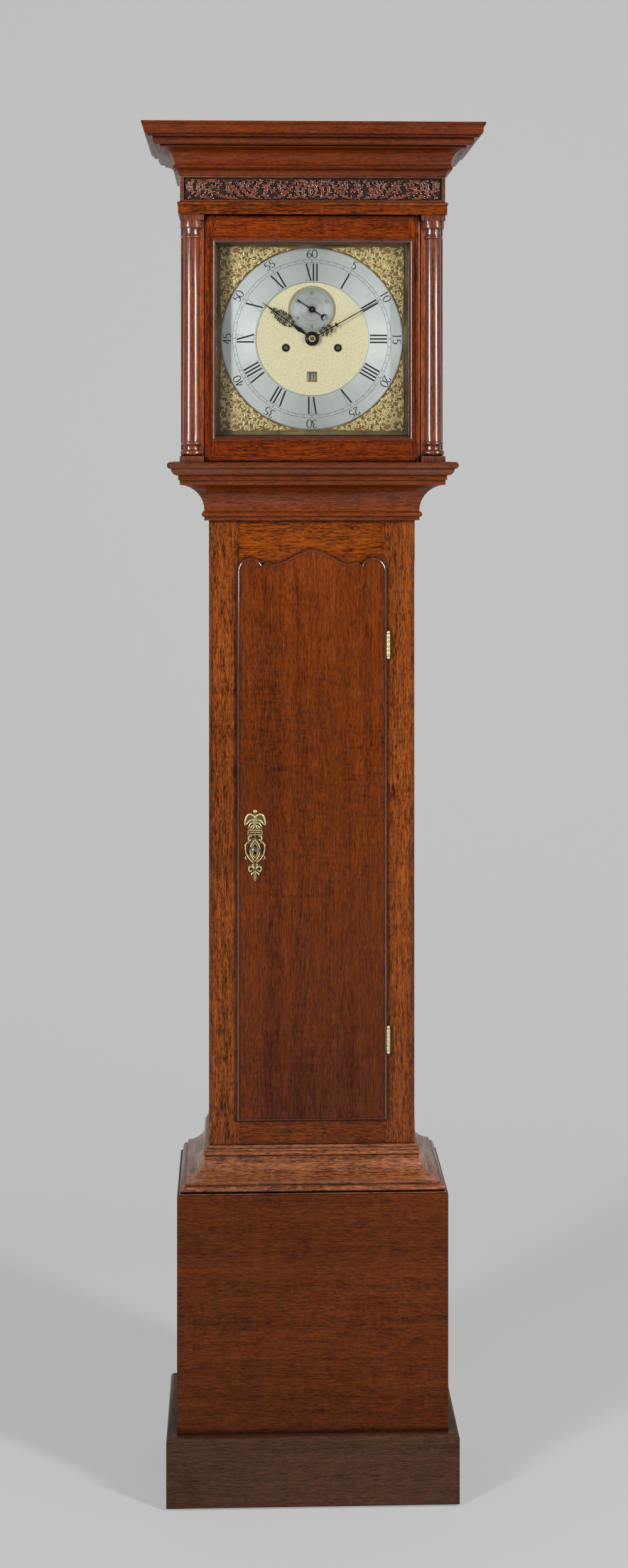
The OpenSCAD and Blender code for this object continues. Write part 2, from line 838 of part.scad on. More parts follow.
module flap_leaf(z) {
    x0 = opening_w / 2 - door_gap;
    y1 = trunk_y - 0.2;
    block([x0 - leaf_t, y1 - leaf_t, z - hinge_l / 2],
        [hinge_x - knuckle_r - run, y1, z + hinge_l / 2]);
    block([x0 - leaf_t, y1 - leaf_t, z - hinge_l / 2],
        [x0, tdoor_back - 1, z + hinge_l / 2]);
}

module hinge_mortise(z) {
    butt_leaf(z);
}

// The rebate for a door leaf, open to the back and the edge of the door
module flap_mortise(z) {
    x0 = opening_w / 2 - door_gap;
    y0 = trunk_y - 0.2 - leaf_t;
    block([x0 - leaf_t, y0, z - hinge_l / 2],
        [hinge_x - knuckle_r, trunk_y + eps, z + hinge_l / 2]);
    block([x0 - leaf_t, y0, z - hinge_l / 2], [x0 + door_gap, tdoor_back - 1, z + hinge_l / 2]);
}

module hinge_butts() {
    color("goldenrod") for (z = hinge_zs) {
        butt_leaf(z);
        for (i = [0 : 2 : knuckles - 1]) translate([hinge_x, hinge_y, z - hinge_l / 2
            + i * knuckle_l + knuckle_gap]) {
            cylinder(r = knuckle_r, h = knuckle_l - 2 * knuckle_gap);
            translate([-1.2, 0, 0]) cube([2.4, trunk_y - hinge_y + leaf_t, knuckle_l - 2 * knuckle_gap]);
        }
        translate([hinge_x, hinge_y, z - hinge_l / 2 - 3]) cylinder(r = pin_r, h = hinge_l + 6);
        for (s = [-1, 1]) translate([hinge_x, hinge_y, z + s * (hinge_l / 2 + 2.4)])
            sphere(finial_r);
    }
}

module hinge_flaps() {
    color("goldenrod") for (z = hinge_zs) {
        flap_leaf(z);
        for (i = [1 : 2 : knuckles - 1]) translate([hinge_x, hinge_y, z - hinge_l / 2
            + i * knuckle_l + knuckle_gap]) difference() {
            union() {
                cylinder(r = knuckle_r, h = knuckle_l - 2 * knuckle_gap);
                translate([-knuckle_r - 1, 0, 0])
                    cube([knuckle_r, trunk_y - 0.2 - hinge_y, knuckle_l - 2 * knuckle_gap]);
            }
            translate([0, 0, -1]) cylinder(r = pin_r + fit, h = knuckle_l + 2);
        }
    }
}

module keyhole(y0, t) {
    translate([key_x, 0, key_z]) {
        ybar(3, y0, y0 + t);
        block([-1.6, y0, -12], [1.6, y0 + t, 0]);
    }
}

// Where the back of the door's head is planed away so that it swings out past the rail
function swing_relief() = let(low = z_crown - crown_h - lip - 3, high = shoulder_cx + 3)
    [[notch_x, low], [notch_x + 10, low], [high, shoulder_cz + shoulder_r - lip - 3.5],
        [high, z_crown], [notch_x, z_crown]];
module trunk_door() {
    steps = 5;
    bend = [for (k = [0 : steps]) let(a = 90 * k / steps)
        [tdoor_round * (1 - cos(a)), tdoor_y + 1.5 + tdoor_round * (1 - sin(a))]];
    insets = concat([0], [for (b = bend) b[0]], [tdoor_round + 0.2]);
    ys = concat([trunk_y], [for (b = bend) b[1]], [tdoor_y]);
    half = hinge_l / 2 + 6;
    color("sienna") difference() {
        union() {
            loft([for (d = insets) door_outline(d)], ys);
            slab(trunk_y - 1, tdoor_in + 1) polygon(door_outline(lip + door_gap));
        }
        keyhole(tdoor_y - 1, tdoor_in + lip_t + 2);
        for (s = [0, 1]) mirror([s, 0, 0])
            slab(trunk_y + 3, tdoor_in) polygon(swing_relief());
        for (z = hinge_zs) {
            flap_mortise(z);
            block([hinge_x - knuckle_r - run, tdoor_y - 1, z - half],
                [hinge_x + 5, trunk_y + 1, z + half]);
            block([hinge_x - knuckle_r - run - 1, hinge_y - 1, z - hinge_l / 2],
                [hinge_x, trunk_y + 1, z + hinge_l / 2]);
        }
    }
}

// The pierced plate round the keyhole: a bird on a block, scrolls and a drop
module escutcheon_outline() {
    wing = [[0, 40], [3, 50], [9, 52], [14, 46], [17, 36], [14.5, 31.5], [11, 37], [5, 36]];
    vesica = 22.9;
    translate([0.3, 54]) circle(3.4);
    translate([0.5, 46]) circle(5.5);
    translate([0, 38]) circle(4.5);
    translate([-1.5, 29]) square([3, 10]);
    translate([-1.5, 14]) square([3, 10]);
    for (s = [0, 1]) mirror([s, 0]) {
        polygon(wing);
        translate([-1, 22.4]) square([12.7, 8.3]);
        difference() {
            translate([8.3, 18.6]) circle(4.7);
            translate([8.3, 18.6]) circle(2.1);
        }
        difference() {
            intersection() {
                translate([0, -2]) circle(16.8);
                translate([7.5, -18]) square([10, 34]);
            }
            translate([0, -2]) circle(14.2);
        }
        for (z = [4, -14]) translate([5, z]) square([8.5, 2]);
        translate([7.4, 10.5]) square([3, 5]);
        polygon([[3.5, -12.5], [9, -12.5], [2.5, -28], [0, -28]]);
        difference() {
            translate([6, -32.5]) circle(5.2);
            translate([6.3, -32.5]) circle(2.9);
        }
        translate([-0.5, -40]) square([2.5, 12.5]);
        polygon([[0, -38], [2, -40], [5.5, -42.5], [2.6, -43.5], [3.9, -48], [2.6, -52.5],
            [0, -54.5]]);
    }
    translate([0, -1.5]) intersection() {
        translate([8.5 - vesica, 0]) circle(vesica);
        translate([vesica - 8.5, 0]) circle(vesica);
    }
}

module escutcheon() {
    color("gold") difference() {
        translate([key_x, 0, key_z]) slab(tdoor_y - escutcheon_t, escutcheon_t)
            escutcheon_outline();
        keyhole(tdoor_y - escutcheon_t - 1, escutcheon_t + 2);
    }
}

module door_lock() {
    color("slategray") difference() {
        block([lock_x, tdoor_back, key_z - lock_w / 2],
            [lock_x + lock_w, tdoor_back + lock_d, key_z + lock_w / 2]);
        block([lock_x + lock_wall, tdoor_back - 1, key_z - lock_w / 2 + lock_wall],
            [lock_x + lock_w - lock_wall, tdoor_back + lock_d - lock_wall,
                key_z + lock_w / 2 - lock_wall]);
        translate([key_x, 0, key_z]) ybar(shank_r + fit, tdoor_back, tdoor_back + lock_d + 1);
        block([lock_x - 1, tdoor_back - 1, key_z + bolt_z0 - run],
            [lock_x + lock_wall + 1, bolt_y1 + run, key_z + bolt_z1 + run]);
    }
}

module lock_bolt() {
    color("lightgray") block([lock_x + 0.2, bolt_y0, key_z + bolt_z0],
        [lock_x + lock_w - bolt_throw - 8, bolt_y1, key_z + bolt_z1]);
}

module door_key() {
    bow_a = 14;
    color("gray") translate([key_x, 0, key_z]) rotate([0, bow_a, 0]) {
        ybar(shank_r, tdoor_y - 17, tdoor_back + lock_d);
        ybar(shank_r + 1, tdoor_y - 15, tdoor_y - 13);
        translate([0, tdoor_y - 24, 0]) difference() {
            translate([0, 0, -1.4]) cylinder(r = 9.6, h = 2.8);
            for (s = [-1, 1]) translate([3.9 * s, 0, -2]) cylinder(r = 3, h = 4);
            translate([0, -3, -2]) cylinder(r = 2.6, h = 4);
        }
        block([0, tdoor_back + 1.2, -1], [7.8, tdoor_back + 7, 1]);
    }
}

// Dial

module dial_plate() {
    color("gold") {
        difference() {
            translate([0, 0, z_dial]) slab(dial_y, dial_t) square(dial_w, center = true);
            translate([0, 0, z_dial]) {
                ybar(6, dial_y - 1, dial_y + dial_t + 1);
                for (s = [-1, 1]) translate([s * wind_x, 0, -wind_z])
                    ybar(5.6, dial_y - 1, dial_y + dial_t + 1);
                translate([0, 0, seconds_z]) ybar(2.2, dial_y - 1, dial_y + dial_t + 1);
                slab(dial_y - 1, dial_t + 2) translate([-date_w / 2, -date_z - date_w / 2])
                    square(date_w);
            }
        }
        for (p = dial_feet) translate([p[0], 0, z_dial + p[1]])
            ybar(3.5, dial_y + dial_t - 0.5, front_y);
        for (a = [30, 150, 270]) translate([(date_r1 + 1.6) * cos(a), 0,
            z_dial + (date_r1 + 1.6) * sin(a)]) {
            ybar(1.5, dial_y + dial_t - 0.5, dial_y + dial_t + 2 * run + 2);
            ybar(3.2, dial_y + dial_t + 2 * run + 1.2, dial_y + dial_t + 2 * run + 2.2);
        }
    }
}

module chapter_rings() {
    color("silver") translate([0, 0, z_dial]) {
        slab(ring_y, ring_t) difference() {
            circle(chapter_r1, $fn = 180);
            circle(chapter_r0, $fn = 180);
        }
        slab(dial_y - 1, 1) translate([0, seconds_z]) difference() {
            circle(seconds_r);
            circle(2.2);
        }
    }
}

// One corner ornament: a shell head with leafy scrolls down both sides
module spandrel_outline() {
    far = dial_w / 2 - 8;
    inner = chapter_r1 + 2;
    lobes = [[0, 15], [11, 10], [23, 9], [36, 8], [50, 7.5], [64, 6.5], [78, 5.5], [91, 4.5]];
    difference() {
        intersection() {
            union() {
                translate([far - 26, far - 26]) circle(22);
                for (s = [0, 1]) mirror([s, -s]) {
                    for (l = lobes) translate([far - 16 - l[0], far - l[1] - 1]) circle(l[1]);
                    translate([far - 124, far - 5]) square([112, 4]);
                }
                difference() {
                    circle(inner + 4);
                    translate([0, 0]) square([2 * inner, 40]);
                    square([40, 2 * inner]);
                }
            }
            square(far);
        }
        circle(inner);
        for (s = [0, 1]) mirror([s, -s]) {
            translate([far - 39, far - 9]) circle(2.6);
            translate([far - 52, far - 8.5]) circle(2.4);
            translate([far - 66, far - 8]) circle(2);
            translate([far - 20, far - 36]) circle(2.4);
        }
        translate([far - 10, far - 10]) circle(3);
    }
}

module spandrels() {
    color("goldenrod") translate([0, 0, z_dial]) slab(dial_y - spandrel_t, spandrel_t)
        for (a = [0 : 90 : 270]) rotate(a) spandrel_outline();
}

module date_ring() {
    color("silver") translate([0, 0, z_dial]) slab(dial_y + dial_t + run, 1.2) difference() {
        circle(date_r1);
        circle(date_r0);
    }
}

// Hands

module minute_outline() {
    difference() {
        union() {
            circle(8);
            polygon([[-3, 6], [3, 6], [1.6, 22], [-1.6, 22]]);
            for (s = [-1, 1]) {
                translate([4.4 * s, 23]) circle(4.8);
                translate([3.2 * s, 31]) circle(3.4);
                translate([0, 44]) rotate(52 * s) square([9, 1], center = true);
            }
            polygon([[-1.8, 20], [1.8, 20], [1, 52], [0.4, minute_l], [-0.4, minute_l],
                [-1, 52]]);
        }
        for (s = [-1, 1]) {
            translate([4.8 * s, 23]) circle(2.8);
            translate([3.6 * s, 31]) circle(1.7);
        }
    }
}

module hour_outline() {
    difference() {
        union() {
            circle(12);
            polygon([[-3.4, 10], [3.4, 10], [1.6, 38], [1.4, 70], [-1.4, 70], [-1.6, 38]]);
            for (s = [-1, 1]) {
                translate([4.4 * s, 41]) circle(4.2);
                translate([6.2 * s, 50.5]) circle(6.2);
                translate([5.2 * s, 61.5]) circle(5.6);
                translate([3 * s, 70]) circle(3.6);
            }
            polygon([[-2.6, 68], [2.6, 68], [0.5, hour_l], [-0.5, hour_l]]);
        }
        for (s = [-1, 1]) {
            translate([4.6 * s, 41]) circle(2.2);
            translate([6.8 * s, 50.5]) circle(3.9);
            translate([5.8 * s, 61.5]) circle(3.3);
            translate([3.5 * s, 70]) circle(1.7);
        }
    }
}

module minute_hand() {
    color("darkslateblue") translate([0, 0, z_dial]) difference() {
        union() {
            slab(minute_y, 1) rotate(-minute_a) minute_outline();
            ybar(6.4, minute_y - 0.8, minute_y + 0.2);
        }
        ybar(2.5, minute_y - 2, minute_y + 2);
    }
}

module hour_hand() {
    color("darkslateblue") translate([0, 0, z_dial]) difference() {
        slab(hour_y, 1) rotate(-hour_a) hour_outline();
        ybar(5, hour_y - 1, hour_y + 2);
    }
}

module seconds_hand() {
    color("darkslateblue") translate([0, 0, z_dial + seconds_z]) difference() {
        slab(dial_y - 2.2, 0.6) rotate(57) {
            circle(5);
            polygon([[-1.2, 0], [1.2, 0], [0.3, 28], [-0.3, 28]]);
            for (s = [-1, 1]) translate([0, 23.5]) rotate(50 * s) square([7, 0.8], center = true);
            polygon([[-1, 0], [1, 0], [0.7, -18.6], [-0.7, -18.6]]);
            translate([0, -23]) difference() {
                circle(5.4);
                translate([0, -2.2]) circle(4.6);
            }
        }
        ybar(arbor_r, dial_y - 5, dial_y);
    }
}

// Wheels and pinions

// The outline of a toothed wheel. half: share of the pitch that a tooth fills
function tooth_ring(n, m, add, ded, fill, tip) = let(r = n * m / 2, half = 90 * fill / n)
    [for (i = [0 : n - 1], q = [[r - ded * m, -half * 2], [r, -half * 2], [r + add * m, -half * tip],
        [r + add * m, half * tip], [r, half * 2], [r - ded * m, half * 2]])
        let(a = 360 * i / n + q[1]) [q[0] * cos(a), q[0] * sin(a)]];

// A wheel with a tooth in the middle of direction a
module wheel_outline(n, m, a) {
    rotate(a) polygon(tooth_ring(n, m, 1.15, 1.3, 0.46, 0.8));
}

// A pinion with a gap in the middle of direction a
module pinion_outline(n, m, a) {
    rotate(a + 180 / n) polygon(tooth_ring(n, m, 0.6, 1.75, 0.33, 0.9));
}

// A wheel cut out to a rim, a hub and four spokes
module crossed(n, m, a) {
    rim = n * m / 2 - 1.3 * m - 2.4;
    difference() {
        wheel_outline(n, m, a);
        difference() {
            circle(rim);
            circle(4.4);
            for (b = [0, 90]) rotate(b + 45) square([2 * rim + 2, 2], center = true);
        }
    }
}

module great_wheel() {
    color("gold") translate([wind_x, 0, z_dial - wind_z]) difference() {
        union() {
            slab(gap_y + 4, 2.5) wheel_outline(great_n, great_m, great_a + 180);
            ybar(8, gap_y + 3, drum_y - 0.5);
        }
        ybar(4 + fit, gap_y, drum_y);
    }
}

// The line wound on a drum, as one tube that ends at the strand
function wound_path() = let(steps = 24, n = line_turns * steps)
    [for (i = [0 : n]) let(a = 180 - 360 * (n - i) / steps)
        [wound_r * cos(a), line_y - line_pitch * (n - i) / steps, wound_r * sin(a), a]];

module wound_line() {
    path = wound_path();
    n = len(path);
    sides = 6;
    first = path[0];
    last = path[n - 1];
    run_in = [first[0] + 2 * line_r * sin(first[3]), first[1], first[2] - 2 * line_r
        * cos(first[3]), first[3]];
    run_out = [last[0], last[1], last[2] - 2 * line_r, last[3]];
    all = concat([run_in], path, [run_out]);
    points = [for (p = all, k = [0 : sides - 1]) let(b = 360 * k / sides)
        [p[0] + line_r * cos(b) * cos(p[3]), p[1] + line_r * sin(b),
            p[2] + line_r * cos(b) * sin(p[3])]];
    m = len(all);
    polyhedron(points, concat(
        [for (i = [0 : m - 2], k = [0 : sides - 1], h = [0, 1]) let(j = (k + 1) % sides)
            h == 0 ? [i * sides + k, (i + 1) * sides + j, i * sides + j]
                : [i * sides + k, (i + 1) * sides + k, (i + 1) * sides + j]],
        [for (k = [1 : sides - 2]) [0, k, k + 1]],
        [for (k = [1 : sides - 2]) [(m - 1) * sides, (m - 1) * sides + k + 1,
            (m - 1) * sides + k]]), convexity = 10);
}
turn_gap = min([for (p = wound_path(), q = wound_path())
    if (abs(p[3] - q[3]) >= 300) norm([p[0] - q[0], p[1] - q[1], p[2] - q[2]])]) - 2 * line_r;
echo(least_gap_between_turns = turn_gap);

module drum(x) {
    color("gold") translate([x, 0, z_dial - wind_z]) {
        block([-2.8, dial_y - 1, -2.8], [2.8, front_y - 4, 2.8]);
        ybar(4, front_y - 4.5, rear_y - pivot_gap);
        ybar(2.5, rear_y - 1, cock_y);
        ybar(drum_r, drum_y, drum_y + drum_l);
        for (y = [drum_y, drum_y + drum_l - 1.5]) ybar(drum_r + 3.2, y, y + 1.5);
    }
    color("khaki") translate([x, 0, z_dial - wind_z]) wound_line();
}

module going_barrel() {
    drum(wind_x);
}

module strike_barrel() {
    drum(-wind_x);
    color("gold") translate([-wind_x, 0, z_dial - wind_z]) {
        slab(gap_y + 4, 2.5) wheel_outline(strike_n, strike_m, 0);
        ybar(8, gap_y + 3, drum_y + 1);
    }
}

module centre_wheel() {
    color("gold") translate([0, 0, z_dial]) {
        ybar(2.5, minute_y - 2.2, gap_y + 2);
        ybar(1.8, gap_y + 1, cock_y);
        slab(gap_y + 2, 6.5) pinion_outline(centre_pn, great_m, great_a);
        slab(rear_y - 8.5, 2) crossed(centre_n, centre_m, third_a);
        ybar(4.4, rear_y - 9.5, rear_y - 5.5);
        slab(front_y - 4.5, 1.5) crossed(cannon_n, cannon_m, idle_a);
    }
}

// The stepped cam that sets how many blows are struck
module snail_outline() {
    for (i = [0 : 11]) rotate(30 * i) intersection() {
        circle(10 + i);
        polygon([[0, 0], [40, 0], [40 * cos(30.5), 40 * sin(30.5)]]);
    }
}

module hour_wheel() {
    color("gold") translate([0, 0, z_dial]) difference() {
        union() {
            ybar(5, hour_y - 0.6, front_y - 5);
            slab(front_y - 12, 2) crossed(hour_n, hour_m, idle_a);
            slab(front_y - 14.5, 1.5) snail_outline();
            ybar(6.5, front_y - 14.5, front_y - 9);
        }
        ybar(2.5 + fit, hour_y - 2, front_y);
    }
}

module minute_wheel() {
    color("gold") translate([idle_d * cos(idle_a), 0, z_dial + idle_d * sin(idle_a)]) {
        slab(front_y - 4.5, 1.5) rotate(180 / cannon_n)
            crossed(cannon_n, cannon_m, idle_a + 180);
        slab(front_y - 13, 9) pinion_outline(hour_pn, hour_m, idle_a + 180);
        ybar(arbor_r, front_y - 3.5, gap_y + 0.5);
    }
}

module third_wheel() {
    color("gold") translate([third_x, 0, z_dial + third_z]) {
        ybar(arbor_r, front_y, cock_y);
        slab(rear_y - 10, 5.5) pinion_outline(third_pn, centre_m, third_a + 180);
        slab(gap_y + 13, 2) crossed(third_n, third_m, escape_a);
        ybar(4.4, gap_y + 12, gap_y + 16);
    }
}

// Pointed teeth that lean the way the wheel turns
module escape_outline() {
    root = escape_r - 3.6;
    step = 360 / escape_n;
    tooth = [[escape_r, 0], [escape_r, 0.8], [root, 4.5], [root, step + 1.6]];
    difference() {
        rotate(90 - pallet_a - 3 * step - 6.4 + step) polygon([for (i = [0 : escape_n - 1],
            q = tooth) let(a = step * i + q[1]) [q[0] * cos(a), q[0] * sin(a)]]);
        difference() {
            circle(root - 2);
            circle(4);
            for (b = [0, 90]) rotate(b) square([2 * root, 1.8], center = true);
        }
    }
}

module escape_wheel() {
    color("gold") translate([0, 0, z_dial + seconds_z]) {
        ybar(arbor_r, dial_y - 2.8, cock_y);
        slab(gap_y + 11, 6) pinion_outline(escape_pn, third_m, escape_a + 180);
        slab(rear_y - 22, 1.6) escape_outline();
        ybar(4, rear_y - 23, rear_y - 19.4);
    }
}

// The recoil anchor, drawn round the escape wheel's centre
module anchor_outline() {
    inside = escape_r + swing_room;
    outside = inside + 4;
    intersection() {
        difference() {
            circle(outside);
            circle(inside);
        }
        polygon([[0, 0], [60 * sin(pallet_a + 3), 60 * cos(pallet_a + 3)], [0, 80],
            [-60 * sin(pallet_a + 3), 60 * cos(pallet_a + 3)]]);
    }
    for (s = [-1, 1]) rotate(-s * pallet_a)
        translate([-0.65, escape_r + pallet_clear]) square([1.3, swing_room + 3]);
    translate([-3, outside - 1.5]) square([6, pallet_z - seconds_z - outside + 1.5]);
    translate([0, pallet_z - seconds_z]) circle(4.4);
}

module anchor() {
    fork_z = -crutch_l;
    color("lightsteelblue") {
        translate([0, 0, z_dial + seconds_z]) slab(rear_y - 23.5, 5) anchor_outline();
        translate([0, 0, z_dial + pallet_z]) {
            ybar(arbor_r, front_y, cock_y + 21.5);
            ybar(4, cock_y + 6, cock_y + 9);
            block([-2.5, cock_y + 6, fork_z], [2.5, cock_y + 8.5, 0]);
            block([-6, cock_y + 6, fork_z - 6], [6, pend_y - 6.5, fork_z]);
            for (s = [-1, 1]) translate([s * 4.2 - 1, pend_y - 7, fork_z - 6])
                cube([2, 13, 8]);
        }
    }
}

module pendulum_rod() {
    color("lightsteelblue") translate([0, pend_y, z_dial + pallet_z]) {
        block([-0.25, -4, -24], [0.25, 4, -run]);
        block([-3, -5, -34], [3, 5, -22]);
        translate([0, 0, -pendulum_l - bob_r - 26]) cylinder(r = rod_r, h = pendulum_l
            + bob_r - 6);
        block([-4 + 1, -4.5, -crutch_l - 16], [4 - 1, 4.5, -crutch_l + 12]);
        translate([0, 0, -pendulum_l - bob_r - 9]) cylinder(r = 8, h = 8.8);
    }
}

module pendulum_bob() {
    lens = (bob_r * bob_r + bob_t * bob_t / 4) / bob_t;
    color("goldenrod") translate([0, pend_y, z_dial + pallet_z - pendulum_l]) difference() {
        rotate([90, 0, 0]) rotate_extrude($fn = 96) intersection() {
            translate([0, lens - bob_t / 2]) circle(lens, $fn = 180);
            translate([0, bob_t / 2 - lens]) circle(lens, $fn = 180);
            translate([0, -bob_t]) square([bob_r - 0.6, 2 * bob_t]);
        }
        translate([0, 0, -bob_r - 5]) cylinder(r = rod_r + 0.2, h = 2 * bob_r + 10);
    }
}

// Plates and fixed parts

module plate_outline() {
    translate([-plate_w / 2, -plate_down]) square([plate_w, plate_down + plate_up]);
}

module front_plate() {
    color("gold") translate([0, 0, z_dial]) difference() {
        slab(front_y, plate_t) plate_outline();
        for (s = [-1, 1]) translate([s * wind_x, 0, -wind_z])
            ybar(4 + fit, front_y - 1, gap_y + 1);
        ybar(2.5 + fit, front_y - 1, gap_y + 1);
        for (p = [third_at, [0, seconds_z], [0, pallet_z], hammer_at,
            [idle_d * cos(idle_a), idle_d * sin(idle_a)]])
            translate([p[0], 0, p[1]]) ybar(arbor_r + fit, front_y - 1, gap_y + 1);
    }
}

module back_plate() {
    color("gold") translate([0, 0, z_dial]) difference() {
        slab(rear_y, plate_t) plate_outline();
        for (s = [-1, 1]) translate([s * wind_x, 0, -wind_z])
            ybar(2.5 + fit, rear_y - 1, cock_y + 1);
        ybar(1.8 + fit, rear_y - 1, cock_y + 1);
        for (p = [third_at, [0, seconds_z], hammer_at])
            translate([p[0], 0, p[1]]) ybar(arbor_r + fit, rear_y - 1, cock_y + 1);
        translate([0, 0, pallet_z]) ybar(6, rear_y - 1, cock_y + 1);
    }
}

module plate_pillars() {
    color("gold") for (p = pillar_at) translate([p[0], gap_y, z_dial + p[1]])
        rotate([-90, 0, 0]) rotate_extrude() {
            square([3.6, plate_gap]);
            for (z = [0, plate_gap - 3]) translate([0, z]) square([5.6, 3]);
            for (z = [7, plate_gap - 7]) translate([3.4, z]) circle(1.8);
            translate([0, plate_gap / 2 - 4]) square([4.4, 8]);
            translate([4, plate_gap / 2]) circle(1.7);
        }
}

module back_cock() {
    color("gold") translate([0, 0, z_dial + pallet_z]) {
        difference() {
            union() {
                for (s = [-1, 1]) translate([s * 23 - 5, cock_y, -6]) cube([10, 19, 13]);
                block([-28, cock_y + 17.5, -6], [28, cock_y + 21.5, 7]);
            }
            ybar(arbor_r + fit, cock_y, cock_y + 24);
        }
        block([-5, cock_y + 21.5, 2], [5, pend_y + 6, 10]);
        block([-2, pend_y - 4.5, 0], [2, pend_y + 4.5, 14]);
    }
}

module bell_outline() {
    hole_r = 2.5;
    translate([hole_r, bell_h - bell_t]) square([3 - hole_r + eps, bell_t]);
    translate([3, 0]) difference() {
        quarter(bell_h);
        circle(bell_h - bell_t);
    }
}

module bell() {
    color("darkgoldenrod") translate([0, bell_y, z_dial + bell_z]) rotate_extrude($fn = 96)
        bell_outline();
}

module bell_stand() {
    top = bell_z + bell_h;
    foot_x = 42;
    depth = cock_y + 1.5 - bell_y;
    color("slategray") translate([0, 0, z_dial]) {
        block([foot_x - 5, cock_y, plate_up - 30], [foot_x + 5, cock_y + 3, top + 3]);
        translate([0, bell_y, top]) rotate([0, 0, atan2(depth, foot_x)])
            translate([-4, -4, 0]) cube([norm([foot_x, depth]) + 4, 8, 3]);
        translate([0, bell_y, top - 9]) cylinder(r = 2.3, h = 14);
        translate([0, bell_y, top - bell_t - 3]) cylinder(r = 5, h = 3);
    }
}

module hammer() {
    head_z = bell_z + 6 - hammer_at[1];
    head_x = -bell_r - 0.5 - hammer_at[0];
    color("slategray") translate([hammer_at[0], 0, z_dial + hammer_at[1]]) {
        ybar(arbor_r, front_y, cock_y);
        ybar(3, bell_y - 3, bell_y + 3);
        translate([0, bell_y - 1.5, 0]) rotate([0, atan2(head_x - 7, head_z), 0])
            translate([-1.5, 0, 0]) cube([3, 3, norm([head_x - 7, head_z])]);
        translate([head_x - 14, bell_y, head_z]) rotate([0, 90, 0]) cylinder(r = 5, h = 14);
    }
}

module seatboard() {
    color("tan") difference() {
        block([-trunk_w / 2, front_y - 18, seat_z], [trunk_w / 2, back_y - back_t - 8, seat_top]);
        for (x = [wind_x, -wind_x]) {
            block([x - strand_out - 5, drum_y, seat_z - 1],
                [x - strand_out + 5, drum_y + drum_l, seat_top + 1]);
            translate([x - strand_out + strand_gap, line_y, seat_z - 1])
                cylinder(r = line_r + 0.3, h = seat_t + 2);
        }
        block([-16, pend_y - 12, seat_z - 1], [16, back_y, seat_top + 1]);
    }
}

// Lines, pulleys and weights

// The still parts of both lines: up to the drums, and the knotted ends
module line_tops() {
    color("khaki") for (x = [wind_x - strand_out, -wind_x - strand_out]) {
        translate([x, line_y, seat_z])
            cylinder(r = line_r, h = z_dial - wind_z - seat_z);
        translate([x + strand_gap, line_y, seat_z]) cylinder(r = line_r, h = seat_t + 1);
        translate([x + strand_gap, line_y, seat_top + 2]) sphere(2);
    }
}

module strands(x) {
    color("khaki") for (dx = [0, strand_gap]) translate([x + dx, line_y, pulley_z])
        cylinder(r = line_r, h = seat_z - pulley_z);
}

module going_line() {
    strands(wind_x - strand_out);
}

module strike_line() {
    strands(-wind_x - strand_out);
}

// A weight with its hook, stirrup and pulley, and the line round the pulley
module weight(x) {
    groove = 2 * line_r + 0.3;
    ring_r = 6;
    wire = 1.5;
    ring_z = -pulley_r - 26;
    loop_z = ring_z - 2 * ring_r + wire + wire - 0.1;
    top = loop_z - ring_r - 9;
    translate([x + strand_gap / 2, line_y, pulley_z]) {
        color("gold") {
            difference() {
                ybar(pulley_r + 2.6, -4, 4);
                rotate([90, 0, 0]) rotate_extrude() translate([pulley_r, -groove / 2])
                    square([4, groove]);
            }
            ybar(1.5, -6.5, 6.5);
            for (s = [-1, 1]) translate([-4, s * 5.4 - 1, -pulley_r - 14])
                cube([8, 2, pulley_r + 19]);
            block([-4, -6.4, -pulley_r - 16], [4, 6.4, -pulley_r - 12]);
            translate([0, 0, -pulley_r - 21]) cylinder(r = wire + 0.3, h = 6);
        }
        color("khaki") intersection() {
            rotate([90, 0, 0]) rotate_extrude() translate([pulley_r + line_r, 0])
                circle(line_r, $fn = 24);
            block([-40, -3, -40], [40, 3, 0]);
        }
        color("dimgray") {
            translate([0, 0, ring_z]) rotate([90, 0, 0]) rotate_extrude()
                translate([ring_r, 0]) circle(wire, $fn = 24);
            translate([0, 0, loop_z]) rotate([0, 90, 0]) rotate_extrude()
                translate([ring_r, 0]) circle(wire, $fn = 24);
            translate([0, 0, top - 1]) cylinder(r = 3, h = loop_z - ring_r - top + 1);
            translate([0, 0, top - weight_l]) rotate_extrude($fn = 96) {
                square([weight_r - 4, weight_l]);
                translate([0, 4]) square([weight_r, weight_l - 8]);
                for (z = [4, weight_l - 4]) translate([weight_r - 4, z]) circle(4);
            }
        }
    }
}

module going_weight() {
    weight(wind_x - strand_out);
}

module strike_weight() {
    weight(-wind_x - strand_out);
}

feet();
plinth();
base_panel();
base_sides();
base_floor();
base_moulding();
trunk_stiles();
trunk_rails();
trunk_sides();
backboard();
throat_moulding();
seatboard();
hinge_butts();
front_plate();
back_plate();
plate_pillars();
back_cock();
bell_stand();
bell();
dial_plate();
chapter_rings();
spandrels();
line_tops();
trunk_door();
escutcheon();
door_lock();
hinge_flaps();
door_key();
lock_bolt();
hood_base();
hood_sides();
hood_top();
cornice();
frieze();
hood_band();
hood_pillars();
dial_mask();
hood_door();
hood_glass();
hood_pivots();
great_wheel();
going_barrel();
centre_wheel();
minute_hand();
hour_wheel();
hour_hand();
minute_wheel();
third_wheel();
escape_wheel();
seconds_hand();
anchor();
pendulum_rod();
pendulum_bob();
going_weight();
going_line();
strike_barrel();
strike_weight();
strike_line();
hammer();
date_ring();
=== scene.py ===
import math
import random

